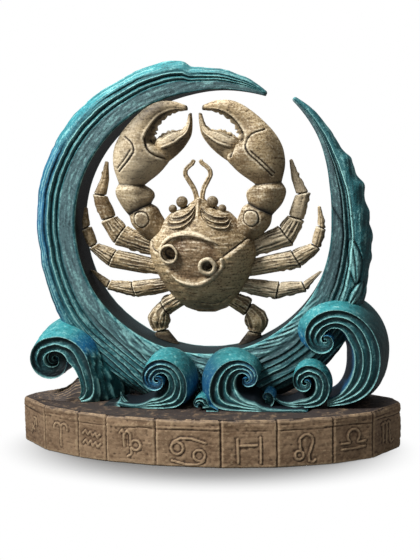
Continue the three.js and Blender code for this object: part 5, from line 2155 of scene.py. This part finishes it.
    def _cup(self, centre: Point, radius: float, bore: float) -> Sheet:
        """Cup of the sign: a rounded rim about a dark bore.

        Args:
            centre: Middle of the cup.
            radius: Outer radius.
            bore: Inner radius.

        Returns:
            Surface of the cup.
        """
        rim = (radius + bore) / 2
        thick = (radius - bore) / 2
        lip = np.linspace(0, np.pi, 14)
        away = np.concatenate([[radius + 0.1, radius], rim + thick * np.cos(lip), [bore - 0.05, bore - 0.15]])
        height = np.concatenate([[-1.4, 0.6], self.relief - 0.5 + thick * np.sin(lip), [0.4, -2.2]])
        turn = np.linspace(0, 2 * np.pi, 85)[:, None]
        wobble = 1 + 0.045 * grain(turn * 1.6, 0 * turn + radius, 170)
        out = centre[0] + away * wobble * np.cos(turn)
        up = centre[1] + away * wobble * np.sin(turn)
        middle = self._front(np.array([centre[0]]), np.array([centre[1]]))
        base = 0.55 * self._front(out, up) + 0.45 * middle - 0.35
        points = self.crab.point(1, out, up, base + height)
        wash_and_shade = np.concatenate([[0.9, 0.6], np.clip((lip - 2.3) * 1.4, 0, 0.6), [0.6, 0.6]])
        pale = np.concatenate([[0, 0.2], np.sin(lip) * 0.7, [0, 0]])
        shape = (len(wash_and_shade), len(turn))
        paint = {"wash_and_shade": np.broadcast_to(wash_and_shade[:, None], shape), "pale": np.broadcast_to(pale[:, None], shape)}
        return Sheet(np.swapaxes(points, 0, 1), paint)

    def _eye(self, side: Side, eye: tuple[float, float, float, float]) -> Sheet:
        """Eyeball on a short stalk with a collar.

        Args:
            side: Side of the crab.
            eye: Distance out, height, distance forward and radius.

        Returns:
            Surface of the eye.
        """
        out, up, forward, radius = eye
        out -= 0.8 * side.value
        root = self.crab.point(side.value, np.array(out * 0.86), np.array(up - 4.2), np.array(forward - 0.6))
        ball = self.crab.point(side.value, np.array(out), np.array(up), np.array(forward))
        axis = unit(ball - root)
        across = unit(np.cross(axis, [0, 1, 0]))
        other = np.cross(axis, across)
        latitude = np.linspace(-0.95, np.pi / 2, 26)
        reach = np.concatenate([[-4.2, -2.2, -1.25], np.sin(latitude)]) * radius
        width = np.concatenate([[0.62, 0.55, 0.72], np.cos(latitude)]) * radius
        width[-1] = 0
        turn = np.linspace(0, 2 * np.pi, 41)
        spokes = np.cos(turn)[None, :, None] * across + np.sin(turn)[None, :, None] * other
        dark = np.concatenate([[0.2, 0.5, 0.8], 0.55 - 0.3 * bell(latitude, -0.5, 0.2)])
        paint = {"wash_and_shade": np.broadcast_to(dark[:, None], (len(dark), len(turn)))}
        return Sheet(ball + axis * reach[:, None, None] + spokes * width[:, None, None], paint)

    def _antenna(self, side: Side) -> Sheet:
        """Antenna: a thin hooked rod with a groove along its face.

        Args:
            side: Side of the crab.

        Returns:
            Surface of the antenna.
        """
        line = bend_through(self.antenna, 120)
        share = np.linspace(0, 1, len(line))
        centre = self.crab.point(side.value, line[:, 0], line[:, 1], np.full(len(line), self.antenna_forward))
        along = unit(np.gradient(centre, axis=0))
        front = np.broadcast_to(np.array([0.0, -1.0, 0.0]), along.shape)
        across = unit(np.cross(along, front))
        face = np.cross(across, along)
        turn = np.linspace(0, 2 * np.pi, 29)
        girth = self.antenna_radius * (1.05 - 0.2 * share)
        groove = 1 - 0.42 * bell(np.abs(turn - np.pi / 2), 0, 0.42)
        radius = girth[:, None] * groove * (1 + 0.07 * grain(share[:, None] * 30, turn[None] * 1.2, 180))
        spokes = np.cos(turn)[None, :, None] * across[:, None] + np.sin(turn)[None, :, None] * face[:, None]
        return Sheet(centre[:, None] + spokes * radius[..., None]).round_ends(0.4, 0.5, 4)


@dataclass
class Camera:
    """Photograph's camera, found from the plinth and the ring."""

    place: Spot = (0.0725, -0.4441, 0.1292)
    azimuth: float = 9.27
    pitch: float = 6.57
    roll: float = -0.85
    focal_pixels: float = 1040.5
    image: tuple[int, int] = (420, 560)
    middle: Point = (206.5, 265.0)
    sensor: float = 36.0

    def build(self) -> None:
        """Adds the camera."""
        turn = math.radians(self.azimuth)
        drop = math.radians(self.pitch)
        ahead = Vector((-math.sin(turn) * math.cos(drop), math.cos(turn) * math.cos(drop), -math.sin(drop)))
        right = Vector((math.cos(turn), math.sin(turn), 0))
        up = right.cross(ahead)
        axes = Matrix((right, up, -ahead)).transposed().to_4x4()
        bpy.ops.object.camera_add()
        camera = bpy.context.active_object
        spin = Matrix.Rotation(math.radians(self.roll), 4, "Z")
        camera.matrix_world = Matrix.Translation(self.place) @ axes @ spin
        tall = self.image[1]
        camera.data.sensor_width = self.sensor
        camera.data.lens = self.focal_pixels * self.sensor / tall
        camera.data.shift_x = (self.image[0] / 2 - self.middle[0]) / tall
        camera.data.shift_y = (self.middle[1] - tall / 2) / tall
        bpy.context.scene.camera = camera


@dataclass(frozen=True)
class Lamp:
    """Soft box: its place, its side in metres and its power in watts."""

    name: str
    place: Spot
    size: float
    power: float


@dataclass
class Studio:
    """Floor, dark grey near the object as a painted shadow and white further off, soft boxes and a white
    surround.
    """

    floor_size: float = 8.0
    # dark grey floor colour: the camera sees it only inside the painted shadow patch, the light everywhere
    floor_colour: Colour = (0.2, 0.2, 0.2)
    # size and middle of the painted shadow patch round the plinth
    shadow_patch: Point = (0.067, 0.045)
    shadow_patch_at: Spot = (0.0, -0.012, 0.0)
    fade_from: float = 0.75
    fade_to: float = 1.4
    ambient: float = 0.18
    aim: Spot = (0.0, 0.0, 0.08)
    lamps: tuple[Lamp, ...] = (
        Lamp("key_box", (-0.58, -0.52, 0.85), 0.3, 18.0),
        Lamp("top_box", (-0.05, 0.15, 1.0), 0.5, 5.5),
    )

    def build(self) -> None:
        """Adds the floor, the lamps and the world."""
        self._floor()
        for lamp in self.lamps:
            bpy.ops.object.light_add(type="AREA", location=lamp.place)
            light = bpy.context.active_object
            light.name = lamp.name
            light.data.size = lamp.size
            light.data.energy = lamp.power
            light.rotation_euler = (Vector(self.aim) - Vector(lamp.place)).to_track_quat("-Z", "Y").to_euler()
        self._world()
        bpy.context.scene.view_settings.view_transform = "Standard"

    def _floor(self) -> None:
        """Floor that shows the shadow near the object, over a dark grey patch that is a painted shadow, and
        turns white further off.
        """
        Bench.clear()
        bpy.ops.mesh.primitive_plane_add(size=self.floor_size)
        floor = bpy.context.active_object
        floor.name = "studio_floor"
        paint = Paint("studio_white")
        moved = paint.vector("SUBTRACT", paint.place, self.shadow_patch_at)
        away = paint.vector("LENGTH", paint.vector("DIVIDE", moved, (*self.shadow_patch, 1)))
        fade = Mask(paint, away).step(self.fade_from, self.fade_to)
        matt = paint.add("ShaderNodeBsdfDiffuse", {}, {"Color": (*self.floor_colour, 1)})
        glow = paint.add("ShaderNodeEmission", {}, {"Color": (1, 1, 1, 1), "Strength": 1.0})
        rays = paint.add("ShaderNodeLightPath", {}, {})
        seen = Mask(paint, rays.outputs["Is Camera Ray"])
        mixed = paint.add("ShaderNodeMixShader", {}, {0: fade * seen, 1: matt.outputs[0], 2: glow.outputs[0]})
        paint.add("ShaderNodeOutputMaterial", {}, {"Surface": mixed.outputs[0]})
        floor.data.materials.append(paint.material)

    def _world(self) -> None:
        """White surround for the camera, dimmer as light."""
        world = bpy.data.worlds.new("studio_surround")
        bpy.context.scene.world = world
        world.use_nodes = True
        nodes = Nodes(world.node_tree)
        seen = nodes.add("ShaderNodeLightPath", {}, {}).outputs["Is Camera Ray"]
        level = nodes.add("ShaderNodeMapRange", {}, {"Value": seen, "To Min": self.ambient, "To Max": 1.0})
        sky = nodes.add("ShaderNodeBackground", {}, {"Color": (1, 1, 1, 1), "Strength": level.outputs[0]})
        nodes.add("ShaderNodeOutputWorld", {}, {"Surface": sky.outputs[0]})


def wave_curls() -> list[WaveCurl]:
    """Curls of the sea, from the left flank to the right one.

    Returns:
        The curls.
    """
    soft = (60.0, 200.0)
    return [
        WaveCurl("wave_left_outer", -66, 17.3, 1, 17, 0.295, 1.21, 0.4, 0.1, -52, 760, -19, 6, 17, soft,
                 0.565, 0.62, True, 2, close=0.13, hollow=5.5, foam=1.0, blue=(20, 300), face_blue=0),
        WaveCurl("wave_centre_left", -17.6, 11.9, 1, 12.6, 0.22, 0.33, 0, 0.25, -148, 460, -27, 2.2, 0, soft,
                 0.61, 0.76, taper=0.4, lean=4, blue=(-20, 300), face_blue=0.8),
        WaveCurl("wave_centre_right", 20.1, 13, -1, 14.2, 0.37, 0.45, 0, 0.36, -152, 440, -27, 6, 0,
                 (10, 100), 0.66, 0.78, taper=0.14, lean=5, dusk=0.5, blue=(0, 300), face_blue=0.8),
        WaveCurl("wave_right_small", 44.1, 10.6, 1, 9.8, 0.16, 0.33, 0, 0.27, -150, 440, -20.5, 1, 0, soft,
                 0.54, 0.72, bands=2, taper=0.5, lean=5, blue=(-115, 300), face_blue=0),
        WaveCurl("wave_right_outer", 52.2, 28.4, 1, 21.2, 0.35, 0.72, 0, 0.28, -88, 460, -19, 4.2, 0,
                 (160, 300), 0.54, 0.8, True, blue=(-200, 140), face_blue=0, wall_blue=0.8, dusk=0.8,
                 lean=5.5, bulge=2),
        WaveCurl("wave_centre_bud", 0.4, 3, 1, 4.2, 0.25, 0.25, 8, 0.25, -40, 250, -29, 0, 0, soft,
                 0.93, 0.93, bands=2),
        WaveCurl("wave_low_right", 27.9, 4.8, 1, 3.2, 0.3, 0.3, 0, 0.25, -100, 250, -22, 0, 0, soft,
                 0.93, 0.93, bands=1, blue=(330, 400), face_blue=0.9),
    ]


def legs(crab: CrabFrame, side: Side) -> list[Leg]:
    """Four legs of one side, from the body to their tips.

    Args:
        crab: Place of the crab.
        side: Side of the crab.

    Returns:
        The four legs.
    """

    def floor(out: float) -> Point:
        """Point on the ring's floor."""
        return (out, -math.sqrt(RING_RADIUS**2 - out**2))

    fall = math.radians(22)
    wall = ((RING_RADIUS - 0.3) * math.cos(fall), -(RING_RADIUS - 0.3) * math.sin(fall))
    first = [
        Section((20.5, -14.1), (20, -7.1), 3.2), Section((39.3, -8.7), (33.3, -0.6), 4),
        Section((44.2, 1.7), (37.7, 3.8), 3.4), Section((47, 13.8), (41.3, 12.7), 2.8),
        Section((43.2, 20.2), (39.6, 19.6), 1.9), Section((40.6, 27.4), (39, 27), 0.9),
    ]
    second = [
        Section((17, -22.6), (19.5, -15.6), 3.2), Section((42.5, -18.6), (38.3, -11.2), 4),
        Section((50.6, -10.4), (47, -8.4), 2.8), Section((53.2, -2), (49.6, -0.6), 2.4),
        Section((52.7, 2.8), (50, 3.1), 1.6), Section((51.7, 7.4), (50.1, 7.2), 0.9),
    ]
    third = [
        Section((13.5, -29.1), (16.5, -23.6), 3), Section((30.9, -32.4), (32.6, -25.2), 3.6),
        Section((44.2, -28.8), (42.4, -25.1), 2.6), Section(wall, (wall[0] - 1.6, wall[1]), 0.8),
    ]
    fourth = [
        Section((12, -30.1), (7.5, -33.6), 2.8), Section((20.3, -34.1), (16.6, -40.1), 3.4),
        Section((26.3, -41.9), (17.2, -43.3), 3.8), Section((23.9, -48), (17.9, -46.6), 3),
        Section(floor(24), floor(13), 3.2),
    ]
    # The legs on the right get painted highlight.
    pale = 0.6 if side is Side.RIGHT else 0.0
    return [
        Leg(crab, side, 1, first, (1, 2, 3), 2, pale=pale),
        Leg(crab, side, 2, second, (1, 2, 3), 2, pale=pale / 2),
        Leg(crab, side, 3, third, (1, 2), 2, foot=0.4, pale=pale),
        Leg(crab, side, 4, fourth, (1, 3), 3, ribs=11, rib_depth=0.5, puff=0.7, foot=1.0, rounded=True),
    ]


def dress_nodes() -> None:
    """Paints the CAD nodes that stay."""
    felt = FeltPaint().mix()
    steel = SteelPaint().mix()
    for name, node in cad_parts.items():
        finish = felt if name == "felt_pad" else steel
        if name == "felt_pad" or "dowel" in name or "pin" in name:
            node.data.materials.clear()
            node.data.materials.append(finish)
            LOG.info("%s: painted", name)


def main() -> None:
    """Builds the statuette piece by piece, then the studio and the camera."""
    logging.basicConfig(level=logging.INFO, format="%(message)s")
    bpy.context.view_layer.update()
    dress_nodes()
    brown = PlinthPaint().mix()
    Plinth().build(brown)
    sea = SeaPaint().mix()
    CrescentRing().build(sea)
    for curl in wave_curls():
        curl.build(sea)
    Lick().build(sea)
    Spray().build(brown)
    bone = BonePaint().mix()
    crab = CrabFrame()
    CrabBody(crab).build(bone)
    for claw in claws(crab):
        claw.build(bone)
    for side in Side:
        for leg in legs(crab, side):
            leg.build(bone)
    Studio().build()
    Camera().build()


if __name__ == "__main__":
    main()
